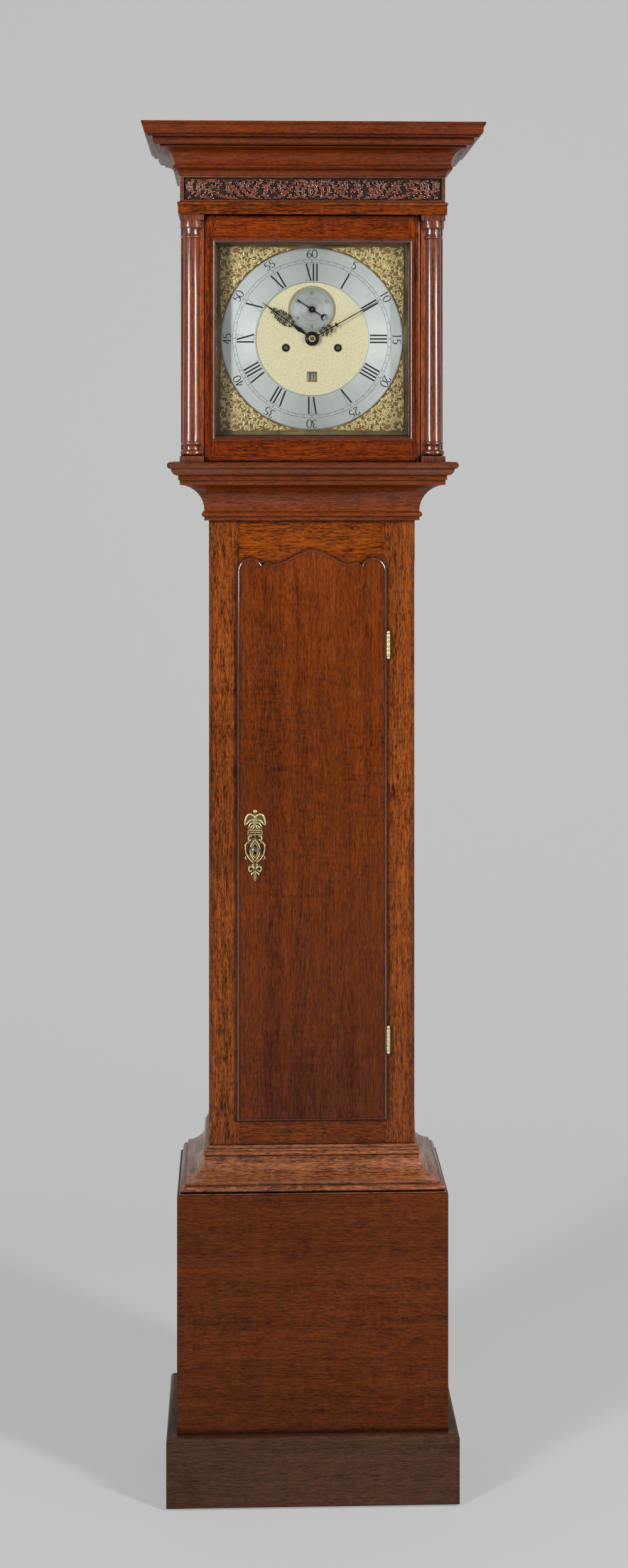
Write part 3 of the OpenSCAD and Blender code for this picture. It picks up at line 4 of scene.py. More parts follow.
import bmesh
import bpy
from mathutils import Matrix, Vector


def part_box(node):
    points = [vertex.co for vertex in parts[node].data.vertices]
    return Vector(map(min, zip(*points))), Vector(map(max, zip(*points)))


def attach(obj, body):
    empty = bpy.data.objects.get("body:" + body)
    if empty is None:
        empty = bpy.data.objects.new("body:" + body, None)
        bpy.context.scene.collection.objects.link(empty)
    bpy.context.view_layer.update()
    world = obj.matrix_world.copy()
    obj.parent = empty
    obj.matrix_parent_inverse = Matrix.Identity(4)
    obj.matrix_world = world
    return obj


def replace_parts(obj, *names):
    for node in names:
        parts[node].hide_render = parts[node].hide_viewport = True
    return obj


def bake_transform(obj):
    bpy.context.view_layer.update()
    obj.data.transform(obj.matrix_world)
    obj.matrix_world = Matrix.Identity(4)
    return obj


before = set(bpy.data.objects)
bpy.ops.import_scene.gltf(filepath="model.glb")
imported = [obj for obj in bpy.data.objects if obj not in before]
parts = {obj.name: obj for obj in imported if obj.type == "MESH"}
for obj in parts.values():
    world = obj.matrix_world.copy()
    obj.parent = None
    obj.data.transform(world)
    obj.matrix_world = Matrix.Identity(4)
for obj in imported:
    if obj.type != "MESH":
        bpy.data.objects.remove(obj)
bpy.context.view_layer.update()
scene = bpy.context.scene
scene.view_settings.view_transform = "Standard"

# The camera stands level at about eye height, a little left of the clock and turned slightly
# right. Its frame is shifted down so that the whole clock shows.
photo_h, focal_px, horizon_px = 2498, 3485, 712


def added(name, data):
    """A new object in the scene."""
    made = bpy.data.objects.new(name, data)
    scene.collection.objects.link(made)
    return made


lens = bpy.data.cameras.new("camera")
lens.sensor_fit = "VERTICAL"
lens.sensor_height = 36
lens.lens = focal_px / photo_h * lens.sensor_height
lens.shift_y = -(photo_h / 2 - horizon_px) / photo_h
scene.camera = added("camera", lens)
scene.camera.location = (-0.109, -3.4375, 1.621)
scene.camera.rotation_euler = (math.radians(90), 0, math.radians(-1.89))

# The studio is a roll of grey paper that curves up from the floor. The camera sees part of its
# brightness as its own, so that it stays even, and the rest as light with the shadow. From
# behind, the paper isn't seen.
paper_glow, paper_even, paper_albedo = 0.56, 0.55, 0.62
paper_half, paper_front, paper_back, paper_top = 7.0, -6.0, 2.6, 5.0
bend_r, bend_steps = 1.6, 12


def wire(tree, kind, inputs=None, **settings):
    """A node of that kind. Its inputs are set to values or joined to sockets, and a node
    stands for its own first output."""
    made = tree.nodes.new("ShaderNode" + kind)
    for name, value in settings.items():
        setattr(made, name, value)
    for name, value in (inputs or {}).items():
        if isinstance(value, bpy.types.Node):
            value = value.outputs[0]
        if isinstance(value, bpy.types.NodeSocket):
            tree.links.new(value, made.inputs[name])
        else:
            made.inputs[name].default_value = value
    return made


def blank(name):
    """A new material with its tree emptied, and the tree."""
    material = bpy.data.materials.new(name)
    material.use_nodes = True
    material.node_tree.nodes.clear()
    return material, material.node_tree


def maths(tree, how, a, b=0.0):
    """One sum of two values."""
    return wire(tree, "Math", {0: a, 1: b}, operation=how)


paper, tree = blank("studio paper")
ray = wire(tree, "LightPath").outputs
seen = maths(tree, "MAXIMUM", ray["Is Camera Ray"], maths(
    tree, "MAXIMUM", ray["Is Glossy Ray"], ray["Is Transmission Ray"]))
face = wire(tree, "MixShader", {
    0: maths(tree, "MULTIPLY", seen, paper_even),
    1: wire(tree, "BsdfDiffuse", {"Color": (paper_albedo, paper_albedo, paper_albedo, 1)}),
    2: wire(tree, "Emission", {"Color": (1, 1, 1, 1), "Strength": paper_glow})})
wire(tree, "OutputMaterial", {0: wire(tree, "MixShader", {
    0: wire(tree, "NewGeometry").outputs["Backfacing"], 1: face,
    2: wire(tree, "BsdfTransparent")})})

profile = [(paper_front, 0.0), (paper_back - bend_r, 0.0)]
for step in range(1, bend_steps + 1):
    angle = math.radians(90) * step / bend_steps
    profile.append((paper_back - bend_r + bend_r * math.sin(angle),
                    bend_r * (1 - math.cos(angle))))
profile.append((paper_back, paper_top))
sweep = bpy.data.meshes.new("backdrop")
sweep.from_pydata([(x, y, z) for y, z in profile for x in (-paper_half, paper_half)], [],
                  [(2 * i, 2 * i + 1, 2 * i + 3, 2 * i + 2) for i in range(len(profile) - 1)])
sweep.materials.append(paper)
for polygon in sweep.polygons:
    polygon.use_smooth = True
added("backdrop", sweep)

# Two tall soft boxes stand to the right and left of the camera, and a pale surround fills the
# shadows.
scene.world = bpy.data.worlds.new("studio")
scene.world.use_nodes = True
surround = scene.world.node_tree.nodes["Background"].inputs
surround["Color"].default_value = (0.90, 0.95, 1.0, 1)
surround["Strength"].default_value = 0.22
for name, place, aim_z, watts, tint in (
        ("key", (2.6, -2.4, 2.6), 1.1, 125, (1.0, 0.97, 0.93)),
        ("fill", (-2.4, -2.6, 2.2), 1.2, 92, (0.97, 0.98, 1.0))):
    lamp = bpy.data.lights.new(name, "AREA")
    lamp.shape = "RECTANGLE"
    lamp.size, lamp.size_y = 0.42, 1.9
    lamp.energy = watts
    lamp.color = tint
    held = added(name, lamp)
    held.location = place
    aim = Vector((0, 0, aim_z)) - held.location
    held.rotation_euler = aim.to_track_quat("-Z", "Y").to_euler()

# The plinth is three boards of oak, mitred at the corners and planted on the box with glue
# and nails. It is the most knocked and darkest part, under old shellac polish.
# The first colour is for dirt and painted shade in hollows, the second for open pores.
crevice_dirt_and_shade = (0.006, 0.003, 0.002, 1)
open_pore = (0.010, 0.004, 0.0015, 1)


def own(tree):
    """A place on the object, in its own coordinates."""
    return wire(tree, "TexCoord").outputs["Object"]


def vectors(tree, how, a, b=(0, 0, 0)):
    """One sum of two vectors."""
    return wire(tree, "VectorMath", {0: a, 1: b}, operation=how)


def noise(tree, vector, stretch, detail=2.0, rough=0.5):
    """A noise from 0 to 1, stretched by three scales."""
    return wire(tree, "TexNoise", {
        "Vector": vectors(tree, "MULTIPLY", vector, stretch), "Scale": 1.0, "Detail": detail,
        "Roughness": rough})


def between(tree, value, low, high, to_low=0.0, to_high=1.0):
    """A value moved from one span to another, held within it."""
    return wire(tree, "MapRange", {0: value, 1: low, 2: high, 3: to_low, 4: to_high})


def mixed(tree, share, a, b):
    """Two colours mixed by a share."""
    return wire(tree, "Mix", {0: share, 6: a, 7: b}, data_type="RGBA").outputs[2]


def either(tree, share, a, b):
    """One vector or another, by a share of 0 or 1."""
    return wire(tree, "Mix", {0: share, 4: a, 5: b}, data_type="VECTOR").outputs[1]


def scaled(tree, colour, red, green, blue):
    """A colour with its channels multiplied by three values."""
    return vectors(tree, "MULTIPLY", colour, wire(tree, "CombineXYZ", {
        0: red, 1: green, 2: blue}))


def paint(red, green, blue):
    """A colour as it shows in the photograph, 0 to 255, in the linear scale of the shaders."""
    return tuple(c / 12.92 if c < 0.04045 else ((c + 0.055) / 1.055) ** 2.4
                 for c in (red / 255, green / 255, blue / 255)) + (1.0,)


def surface(tree, settings):
    """Ends a material in one Principled surface."""
    wire(tree, "OutputMaterial", {0: wire(tree, "BsdfPrincipled", settings)})


# Its figure is one group for every board: grain that drifts a little, with streaks, fibres,
# ripple, open pores and the pale flakes of quartered oak, along the vector's third axis.
tree = figure = bpy.data.node_groups.new("oak figure", "ShaderNodeTree")
for label, kind in (("Along", "Vector"), ("Tone", "Color"), ("Flakes", "Float"),
                    ("Contrast", "Float")):
    tree.interface.new_socket(label, in_out="INPUT", socket_type="NodeSocket" + kind)
for label, kind in (("Color", "Color"), ("Roughness", "Float"), ("Height", "Float")):
    tree.interface.new_socket(label, in_out="OUTPUT", socket_type="NodeSocket" + kind)
given = tree.nodes.new("NodeGroupInput").outputs
along = given["Along"]
drift = noise(tree, along, (5, 5, 1.3)).outputs[1]
grain = vectors(tree, "ADD", along, vectors(tree, "MULTIPLY", drift, (0.030, 0.030, 0.0)))
fibres = noise(tree, grain, (820, 820, 120), 2, 0.6)
pores = between(tree, noise(tree, grain, (700, 700, 50), 2, 0.6), 0.56, 0.66)
flakes = maths(tree, "MULTIPLY", maths(
    tree, "MULTIPLY", between(tree, noise(tree, grain, (46, 46, 190), 2, 0.6), 0.50, 0.62),
    between(tree, noise(tree, along, (9, 9, 5), 2, 0.5), 0.46, 0.60)), given["Flakes"])
light = maths(tree, "MULTIPLY", fibres, 0.40)
for share, layer in ((0.33, noise(tree, grain, (380, 380, 30), 3, 0.65)),
                     (0.18, noise(tree, grain, (58, 58, 0.8), 2, 0.6)),
                     (0.09, noise(tree, grain, (22, 22, 78), 3, 0.65))):
    light = maths(tree, "ADD", light, maths(tree, "MULTIPLY", layer, share))
light = maths(tree, "MULTIPLY", maths(tree, "SUBTRACT", light, 0.5), given["Contrast"])
light = maths(tree, "SUBTRACT", between(tree, light, -0.15, 0.15, 0.22, 2.05),
              maths(tree, "MULTIPLY", flakes, 0.30))
shade = scaled(tree, given["Tone"], light, maths(tree, "POWER", light, 1.12),
               maths(tree, "POWER", light, 1.2))
shade = mixed(tree, maths(tree, "MULTIPLY", pores, 0.5), shade, open_pore)
clouds = between(tree, noise(tree, along, (5, 5, 2.4), 2, 0.5), 0.3, 0.7, 0.80, 1.20)
polish = between(tree, noise(tree, along, (14, 14, 9), 3, 0.6), 0.3, 0.7, 0.28, 0.42)
made = tree.nodes.new("NodeGroupOutput").inputs
for label, result in (
        ("Color", scaled(tree, shade, clouds, clouds, clouds)),
        ("Roughness", maths(tree, "ADD", maths(tree, "MULTIPLY", pores, 0.25), polish)),
        ("Height", maths(tree, "SUBTRACT", maths(tree, "MULTIPLY", fibres, 0.5),
                         maths(tree, "MULTIPLY", pores, 0.7)))):
    tree.links.new(result.outputs[0], made[label])


def oak(name, tone, along="z", flakes=0.5, mitre=None, contrast=1.0, coat=0.25, bump=0.25,
        shine=0.10, upright=None, fade=None, glaze=1.45):
    """Polished oak of an average colour with its grain along an axis. A mitred run gives the
    half width and the front of the box that it goes round: its side lengths have their grain
    from front to back. Beyond a distance to either side, the grain can stand upright. A fade
    gives two heights and how dark the colour is at the lower one: the wood grows darker towards
    the bottom. Hollows found by the AO are darkened as painted shade and dirt."""
    material, tree = blank(name)
    axes = wire(tree, "SeparateXYZ", {0: own(tree)}).outputs
    turned = {"z": (0, 1, 2), "x": (2, 1, 0), "y": (2, 0, 1)}

    def laid(axis):
        return wire(tree, "CombineXYZ", {i: axes[k] for i, k in enumerate(turned[axis])})

    vector = laid(along)
    aside = maths(tree, "ABSOLUTE", axes[0])
    if mitre:
        side = maths(tree, "GREATER_THAN", maths(tree, "SUBTRACT", aside, mitre[0]),
                     maths(tree, "SUBTRACT", mitre[1], axes[1]))
        vector = either(tree, side, vector, laid("y"))
    if upright:
        vector = either(tree, maths(tree, "GREATER_THAN", aside, upright), vector, laid("z"))
    wood = wire(tree, "Group", {"Along": vector, "Tone": paint(*tone), "Flakes": flakes,
                                "Contrast": contrast}, node_tree=figure)
    # Painted shade: hollows, creases and the lines where parts meet, found by the AO, are darkened
    # as shade as well as dirt.
    hollow = wire(tree, "AmbientOcclusion", {"Distance": 0.010}, samples=6).outputs["AO"]
    colour = mixed(tree, between(tree, hollow, 0.40, 0.92, 0.05, 1.0), crevice_dirt_and_shade, wood)
    if fade:
        level = between(tree, axes[2], fade[0], fade[1], fade[2], 1.0)
        colour = scaled(tree, colour, level, level, level)
    surface(tree, {
        "Base Color": colour, "Roughness": wood.outputs["Roughness"],
        "Specular IOR Level": 0.08, "Coat Weight": coat, "Coat Roughness": shine,
        "Coat IOR": glaze, "Normal": wire(tree, "Bump", {
            "Strength": bump, "Distance": 0.001, "Height": wood.outputs["Height"]})})
    return material


def soften(thing, label, width, rounds=2):
    """Rounds the sharp edges of an object a little."""
    soft = thing.modifiers.new(label, "BEVEL")
    soft.width = width
    soft.segments = rounds
    soft.limit_method = "ANGLE"
    soft.angle_limit = math.radians(40)
    return soft


def finish_part(names, material, edge=0.0, rounds=2, curved=None):
    """Gives CAD nodes their material, and rounds their sharp edges a little. On curved ones,
    faces that meet at less than an angle are shaded as one surface."""
    for part in [parts[name] for name in names.split()]:
        part.data.materials.clear()
        part.data.materials.append(material)
        if curved or edge:
            part.modifiers.new("weld", "WELD").merge_threshold = 2e-6
        if curved:
            for polygon in part.data.polygons:
                polygon.use_smooth = True
            part.modifiers.new("sharp edges", "EDGE_SPLIT").split_angle = math.radians(curved)
        if edge:
            soften(part, "worn edge", edge, rounds).harden_normals = True


base_run = (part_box("base_panel")[1].x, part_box("base_panel")[0].y)
finish_part("plinth", oak(
    "plinth_oak", (63, 39, 25), "x", 0.2, base_run, 0.8, 0.15, 0.3, 0.25), 0.0009, 3)

# Four glides of iron, turned, blackened and driven up into the corners of the plinth, carry
# the weight of the case.


def metal(name, tone, rough=0.3, metallic=1.0, dirt_and_shade=(0.02, 0.014, 0.008), spread=0.5, scale=60,
          brushed=(900, 900, 900), deep=0.25):
    """Worn metal of one colour with fine scratches, darker with dirt and painted shade in its
    hollows.
    """
    material, tree = blank(name)
    where = own(tree)
    blotch = noise(tree, where, (scale, scale, scale), 4, 0.6)
    fine = noise(tree, where, brushed, 2, 0.5)
    # Painted shade: the AO darkens the colour in hollows, as shade as well as dirt, together with
    # blotches of wear.
    hollow = wire(tree, "AmbientOcclusion", {"Distance": 0.004}, samples=6).outputs["AO"]
    wear_and_shade = maths(tree, "MULTIPLY", between(tree, hollow, 0.3, 0.9, deep, 1.0),
                 between(tree, blotch, 0.3, 0.7, 1 - spread * 0.5, 1.0))
    surface(tree, {
        "Base Color": mixed(tree, wear_and_shade, (*dirt_and_shade, 1), mixed(
            tree, between(tree, fine, 0.35, 0.65), paint(*(0.86 * c for c in tone)),
            paint(*tone))),
        "Metallic": metallic,
        "Roughness": between(tree, blotch, 0.3, 0.7, rough * 0.75, rough * 1.3),
        "Normal": wire(tree, "Bump", {"Strength": 0.06, "Distance": 0.0005, "Height": fine})})
    return material


iron = metal("blackened_iron", (70, 66, 62), 0.5, 0.8)
finish_part("feet", iron, 0.0006)

# The base is a plain nailed box: one wide front board with its grain across, two side boards
# with theirs upright, and a loose bottom board of pine inside.
finish_part("base_panel", oak(
    "base_oak", (79, 34, 6), "x", 0.5, coat=0.12, fade=(0.1, 0.45, 0.78)), 0.0006)
finish_part("base_sides", oak("base_side_oak", (84, 43, 19), coat=0.16), 0.0006)
finish_part("base_floor", oak(
    "old_pine", (150, 112, 70), "x", 0.0, contrast=0.6, coat=0.0, bump=0.3), 0.0005)

# The base moulding is worked in three lengths, a hollow between a bead and a half round, and
# is mitred round the foot of the trunk. Its front catches the lamps.
trunk_run = (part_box("trunk_stiles")[1].x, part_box("trunk_stiles")[0].y)
finish_part("base_moulding", oak(
    "base_moulding_oak", (122, 70, 40), "x", 0.3, trunk_run, contrast=1.6, coat=0.7), 0.0005)

# The trunk is a joined frame of two uprights, with chamfers on the outer corners that stop
# short of the mouldings, and rails let in between them, over plain side boards.
finish_part("trunk_stiles", oak(
    "stile_oak", (107, 51, 14), "z", 0.6, contrast=1.7, fade=(0.6, 1.5, 0.8)), 0.0006)
finish_part("trunk_rails", oak(
    "rail_oak", (105, 46, 3), "x", 0.5, contrast=1.65, fade=(0.6, 1.45, 0.6)), 0.0003)
finish_part("trunk_sides", oak("trunk_side_oak", (100, 52, 24)), 0.0006)

# The backboard is one rough-sawn board nailed up the back of the case, unpolished inside,
# and the seatboard on the trunk cheeks carries the movement.
finish_part("backboard", oak(
    "backboard_oak", (112, 78, 50), "z", 0.2, contrast=0.8, coat=0.0, bump=0.5), 0.0004)
finish_part("seatboard", oak(
    "seatboard_oak", (124, 84, 50), "x", 0.2, contrast=0.8, coat=0.0, bump=0.4), 0.0004)

# The moulding under the hood is one large hollow with a bead at its neck and two square edges
# on top, nailed round the head of the trunk. The hood slides on it.
finish_part("throat_moulding", oak(
    "throat_oak", (103, 44, 9), "x", 0.4, trunk_run, coat=0.4, glaze=1.6), 0.0005)

# The trunk door is a single wide board of quartered oak. Its lip is worked to a round and
# covers the frame, and its head is cut to a wave between two round shoulders.
smooth_below, flat_from = 28, 0.97


def overlay(thing, material, chosen):
    """Gives the faces of an object that pass a test a second material."""
    thing.data.materials.append(material)
    for face in thing.data.polygons:
        face.material_index = int(chosen(face))


finish_part("trunk_door", oak(
    "door_oak", (93, 39, 5), "z", 0.9, contrast=1.05, fade=(0.6, 1.45, 0.62)), curved=smooth_below)
lip_front, lip_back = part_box("trunk_door")[0].y + 0.0003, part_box("trunk_stiles")[0].y + 0.0002
overlay(parts["trunk_door"],
        oak("lip_oak", (80, 36, 14), "z", 0.2, coat=0.8, shine=0.16, glaze=1.9),
        lambda face: lip_front < face.center.y < lip_back and abs(face.normal.y) < flat_from)

# The hood is a light frame that slides off forwards: a mitred base frame with a moulded nose,
# side boards, and a band under the frieze.
hood_run = (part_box("frieze")[1].x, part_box("frieze")[0].y)
finish_part("hood_base", oak(
    "hood_base_oak", (94, 41, 8), "x", 0.4, trunk_run, coat=0.5, glaze=1.7), 0.0006)
finish_part("hood_sides", oak("hood_side_oak", (96, 48, 20)), 0.0006)
finish_part("hood_band", oak(
    "band_oak", (97, 40, 2), "x", 0.3, hood_run, contrast=1.7, coat=0.4), 0.0005)

# The pillars are turned from square oak with bases and capitals in one piece, and carry a
# deeper shine than the rest.
finish_part("hood_pillars", oak(
    "pillar_oak", (106, 46, 16), coat=0.9, shine=0.24, glaze=1.75, contrast=1.3), 0.0004)

# The cornice is a deep hollow between square edges, built up behind with blocks and mitred
# at the front corners. A thin board closes the top.
finish_part("cornice", oak(
    "cornice_oak", (90, 34, 3), "x", 0.4, hood_run, coat=0.22, glaze=1.7), 0.0004)
finish_part("hood_top", oak("top_oak", (96, 62, 38), "x", 0.2, coat=0.0), 0.0004)

# The mask is the frame of thin board behind the hood door that shows the dial, and the door
# is a mitred frame with a quarter-round moulding that holds the pane against the light.
finish_part("dial_mask", oak("mask_oak", (74, 36, 16), contrast=0.8))
sight_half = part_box("hood_glass")[1].x - 0.0017
finish_part("hood_door", oak(
    "hood_door_oak", (99, 36, 1), "x", 0.4, contrast=1.6, coat=0.3, upright=sight_half),
    curved=smooth_below)
overlay(parts["hood_door"], oak(
    "sight_oak", (76, 34, 14), "x", 0.2, coat=0.6, shine=0.18, upright=sight_half, glaze=2.0),
    lambda face: 0.05 < abs(face.normal.y) < flat_from)

# The frieze is carved from a separate board: running foliage either side of a palmette, left
# standing as the ground is cut back between plain margins. The ground is painted dark, as the
# shade in the cuts.
frieze_low, frieze_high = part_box("frieze")
sink, board_t, margin_side, margin_top = 0.0030, 0.012, 0.0062, 0.0030
ground_y = frieze_low.y + sink
field_z = (frieze_low.z + frieze_high.z) / 2


def band(build, a, b):
    """Adds the faces between two closed loops."""
    for i in range(len(a)):
        build.faces.new([a[i - 1], b[i - 1], b[i], a[i]])


def solid(build, outline, low, high, facing=False):
    """Adds a straight solid: an outline carried up from one level to another, or from front
    to back where it faces the front."""
    ends = [[build.verts.new((u, level, v) if facing else (u, v, level)) for u, v in outline]
            for level in (low, high)]
    build.faces.new(ends[0])
    build.faces.new(ends[1][::-1])
    band(build, *ends)


def piece(name, build, material, body, ease=0.0, even=False):
    """Makes an object of a mesh in the making, with one material. It may ride on a body. A lone
    face keeps its side."""
    if len(build.faces) > 1:
        bmesh.ops.recalc_face_normals(build, faces=build.faces)
    skin = bpy.data.meshes.new(name)
    build.to_mesh(skin)
    build.free()
    made = added(name, skin)
    skin.materials.append(material)
    for polygon in skin.polygons:
        polygon.use_smooth = even
    if ease:
        soften(made, "soft edge", ease)
    if body:
        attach(made, body)
    return made


def smooth(points, count=6):
    """Points on a smooth curve through the given ones."""
    path = []
    last = len(points) - 1
    for i in range(last):
        p0, p1 = points[max(i - 1, 0)], points[i]
        p2, p3 = points[i + 1], points[min(i + 2, last)]
        for k in range(count):
            t = k / count
            path.append(tuple(0.5 * (2 * b + (c - a) * t + (2 * a - 5 * b + 4 * c - d) * t * t
                                     + (3 * b - a - 3 * c + d) * t ** 3)
                              for a, b, c, d in zip(p0, p1, p2, p3)))
    return path + [points[-1]]


def heading(path, i):
    """The unit direction of a path at one of its points."""
    (ax, az), (bx, bz) = path[max(i - 1, 0)], path[min(i + 1, len(path) - 1)]
    run = math.hypot(bx - ax, bz - az) or 1.0
    return (bx - ax) / run, (bz - az) / run


def ridge(build, path, width, rise, y_ground, vein=0.0, taper=0.75):
    """Adds a rounded ridge along a path of (x, z), narrow at its ends. A vein is a groove
    along its middle."""
    rows = []
    for i, (x, z) in enumerate(path):
        dx, dz = heading(path, i)
        swell = math.sin(math.pi * (0.04 + 0.92 * i / (len(path) - 1))) ** taper
        half, high = width / 2 * swell, rise * (0.35 + 0.65 * swell)
        rows.append([
            build.verts.new((x - dz * half * side, y_ground - high * up, z + dx * half * side))
            for side, up in ((-1, -0.2), (-0.82, 0.55), (-0.42, 0.95), (0, 1 - vein),
                             (0.42, 0.95), (0.82, 0.55), (1, -0.2))])
    for a, b in zip(rows, rows[1:]):
        for k in range(6):
            build.faces.new([a[k], a[k + 1], b[k + 1], b[k]])
    build.faces.new(rows[0])
    build.faces.new(rows[-1])


def curl(x, z, radius, start, sweep, tighten=0.55, steps=14):
    """A spiral path round a point, from an angle in degrees, drawing in as it turns."""
    path = []
    for i in range(steps + 1):
        t = i / steps
        angle = math.radians(start + sweep * t)
        reach = radius * (1 - (1 - tighten) * t)
        path.append((x + reach * math.cos(angle), z + reach * math.sin(angle)))
    return path


boards = bmesh.new()
half = frieze_high.x
inside = half - board_t
solid(boards, [(-half, ground_y), (half, ground_y), (half, frieze_high.y), (inside, frieze_high.y),
               (inside, ground_y + board_t), (-inside, ground_y + board_t),
               (-inside, frieze_high.y), (-half, frieze_high.y)],
      frieze_low.z, frieze_high.z)
rims = []
for level in (frieze_low.y, ground_y + 0.0002):
    for in_x, in_z in ((0, 0), (margin_side, margin_top)):
        rims.append([boards.verts.new((x, level, z)) for x, z in (
            (in_x - half, frieze_low.z + in_z), (half - in_x, frieze_low.z + in_z),
            (half - in_x, frieze_high.z - in_z), (in_x - half, frieze_high.z - in_z))])
for a, b in ((0, 1), (1, 3), (3, 2), (2, 0)):
    band(boards, rims[a], rims[b])
frieze_oak = oak("frieze_oak", (88, 50, 30), "x", 0.1, contrast=0.9, coat=0.55, shine=0.2)
carved = piece("carved_frieze", boards, frieze_oak, "hood", 0.0005)
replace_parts(carved, "frieze")
# Painted shade: the ground between the foliage gets a near-black oak, standing in for the shade in
# the cuts.
overlay(carved, oak(
    "frieze_ground_shade", (46, 34, 28), "x", 0.0, contrast=0.7, coat=0.35, shine=0.3),
    lambda face: abs(face.center.y - ground_y) < 1e-5 and face.area > 0.005)

# The foliage, in millimetres from the middle of the panel, is drawn for one half: leaves as
# paths with their widths, small leaflets along them, and round lobes.
leaf_rise, leaf_vein, leaf_swell = 0.0029, 0.35, 1.45
leaves = [
    ([(12, -15), (15, -4), (11, 5), (3, 9)], 4.6), ([(3, -14), (5, -2), (2, 8), (0, 14)], 4.0),
    ([(8, -15), (22, -10), (24, 2), (17, 9), (9, 12)], 4.0),
    ([(9, 12), (20, 14), (27, 9)], 3.4), ([(22, -12), (31, -14), (38, -8)], 4.2),
    ([(27, 13), (33, 4), (40, -4), (52, -13), (66, -15)], 4.4),
    ([(38, 14), (44, 6), (45, -2)], 4.0), ([(47, 13), (52, 7), (50, -2), (44, -6)], 3.6),
    ([(56, 14), (64, 12), (69, 5), (63, -2), (56, 0)], 4.2),
    ([(66, -15), (74, -9), (71, 0), (78, 8)], 4.6), ([(76, 14), (84, 9), (87, 0)], 4.0),
    ([(88, 14), (98, 11), (100, 2), (92, -2), (87, 3)], 4.4),
    ([(78, -15), (90, -13), (101, -8), (109, 2), (118, 13)], 4.6),
    ([(84, -6), (93, -7), (99, -13)], 3.6), ([(103, 13), (109, 7), (106, 0)], 3.8),
    ([(104, -14), (113, -10), (119, -1), (128, 7), (138, 14)], 4.8),
    ([(116, -15), (127, -14), (140, -11), (152, -3)], 4.6),
    ([(124, 14), (131, 5), (129, -4), (122, -5)], 3.8),
    ([(138, 4), (146, 10), (157, 13), (166, 9), (168, 0), (160, -6)], 4.4),
    ([(142, -3), (150, 3), (157, 2), (158, -5), (151, -8)], 3.8),
    ([(152, -15), (164, -14), (173, -10)], 4.0),
    ([(170, 14), (176, 6), (175, -6), (180, -14)], 4.6),
    ([(181, 14), (187, 10), (186, -2), (182, -8)], 4.2),
    ([(186, -15), (192, -12)], 3.4), ([(190, 13), (193, 4), (191, -6)], 3.2),
]
lobes = [(33, -3, 2.6), (45, -11, 2.6), (58, -7, 2.8), (70, 13, 2.4), (84, -12, 2.4), (94, 6, 2.4),
         (112, -2, 2.4), (120, 8, 2.4), (134, -4, 2.6), (146, -13, 2.4), (149, 13, 2.2),
         (164, -10, 2.4), (176, 13, 2.0), (30, 9, 2.0), (62, 6, 2.2), (104, -3, 2.0)]
foliage = bmesh.new()
carver = random.Random(17)
for mirror in (-1, 1):
    for points, width in leaves:
        path = [(mirror * x / 1000, field_z + z / 1000) for x, z in smooth(points)]
        ridge(foliage, path, leaf_swell * width / 1000, leaf_rise, ground_y, leaf_vein)
        for k in range(2, len(path) - 2, 3):
            x, z = path[k]
            dx, dz = heading(path, k)
            for side in (-1, 1):
                turn = math.atan2(dz, dx) + side * math.radians(carver.uniform(38, 62))
                far = carver.uniform(0.0046, 0.0076)
                tip = (x + far * math.cos(turn), z + far * math.sin(turn))
                if abs(tip[1] - field_z) < 0.0162 and abs(tip[0]) < half - margin_side - 0.001:
                    shy = carver.uniform(-0.0004, 0.0004)
                    middle = ((x + tip[0]) / 2 + shy, (z + tip[1]) / 2)
                    ridge(foliage, [path[k], middle, tip], 0.0044, 0.0027, ground_y)
    for x, z, radius in lobes:
        path = curl(mirror * x / 1000, field_z + z / 1000, radius / 1000, 200, mirror * 300)
        ridge(foliage, path, 0.0022, 0.0026, ground_y)
for z, tall in ((-12, 5), (-4, 6), (5, 7)):
    ridge(foliage, [(0, field_z + (z + share * tall) / 1000) for share in (-0.5, 0, 0.5)],
          0.0046, leaf_rise, ground_y)
foliage_oak = oak("foliage_oak", (98, 44, 20), "x", 0.0, contrast=1.2, coat=1.0, glaze=1.8)
piece("frieze_foliage", foliage, foliage_oak, "hood", even=True)

# Narrow upright boards of oak stand behind the pillars, glued to the hood's sides and flush
# with the door on either side of it.
door_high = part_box("hood_door")[1]
post_front, post_gap, post_w, post_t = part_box("hood_door")[0].y + 0.0012, 0.0013, 0.0072, 0.006
post_low, post_high = (corner.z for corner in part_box("hood_pillars"))
block_h = 0.0092
for side, name in ((-1, "left"), (1, "right")):
    post = bmesh.new()
    inner, outer = side * (door_high.x + post_gap), side * (door_high.x + post_gap + post_w)
    solid(post, [(inner, post_front), (outer, post_front), (outer, post_front + post_t),
                 (inner, post_front + post_t)],
          post_low + block_h, post_high - block_h)
    post_oak = oak("hood_stile_oak_" + name, (122, 56, 20), "z", 0.4, contrast=1.3, coat=0.5)
    piece("hood_stile_" + name, post, post_oak, "hood", 0.0005)

# The dial plate is cast brass, hammered flat and held by four feet. The centre inside the
# chapter ring is matted with a punch and lacquered pale, and the rest is plain and tarnished.
dial_low, dial_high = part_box("dial_plate")
dial_z, dial_face = (dial_low.z + dial_high.z) / 2, dial_low.y
dial_at = (0.0, dial_z)
ring_in, ring_out = 0.0875, 0.1407


def off_centre(tree, where, z):
    """How far a place lies from a point of the dial's middle line, as seen face on."""
    flat = vectors(tree, "MULTIPLY", vectors(tree, "SUBTRACT", where, (0, 0, z)), (1, 0, 1))
    return vectors(tree, "LENGTH", flat).outputs[1]


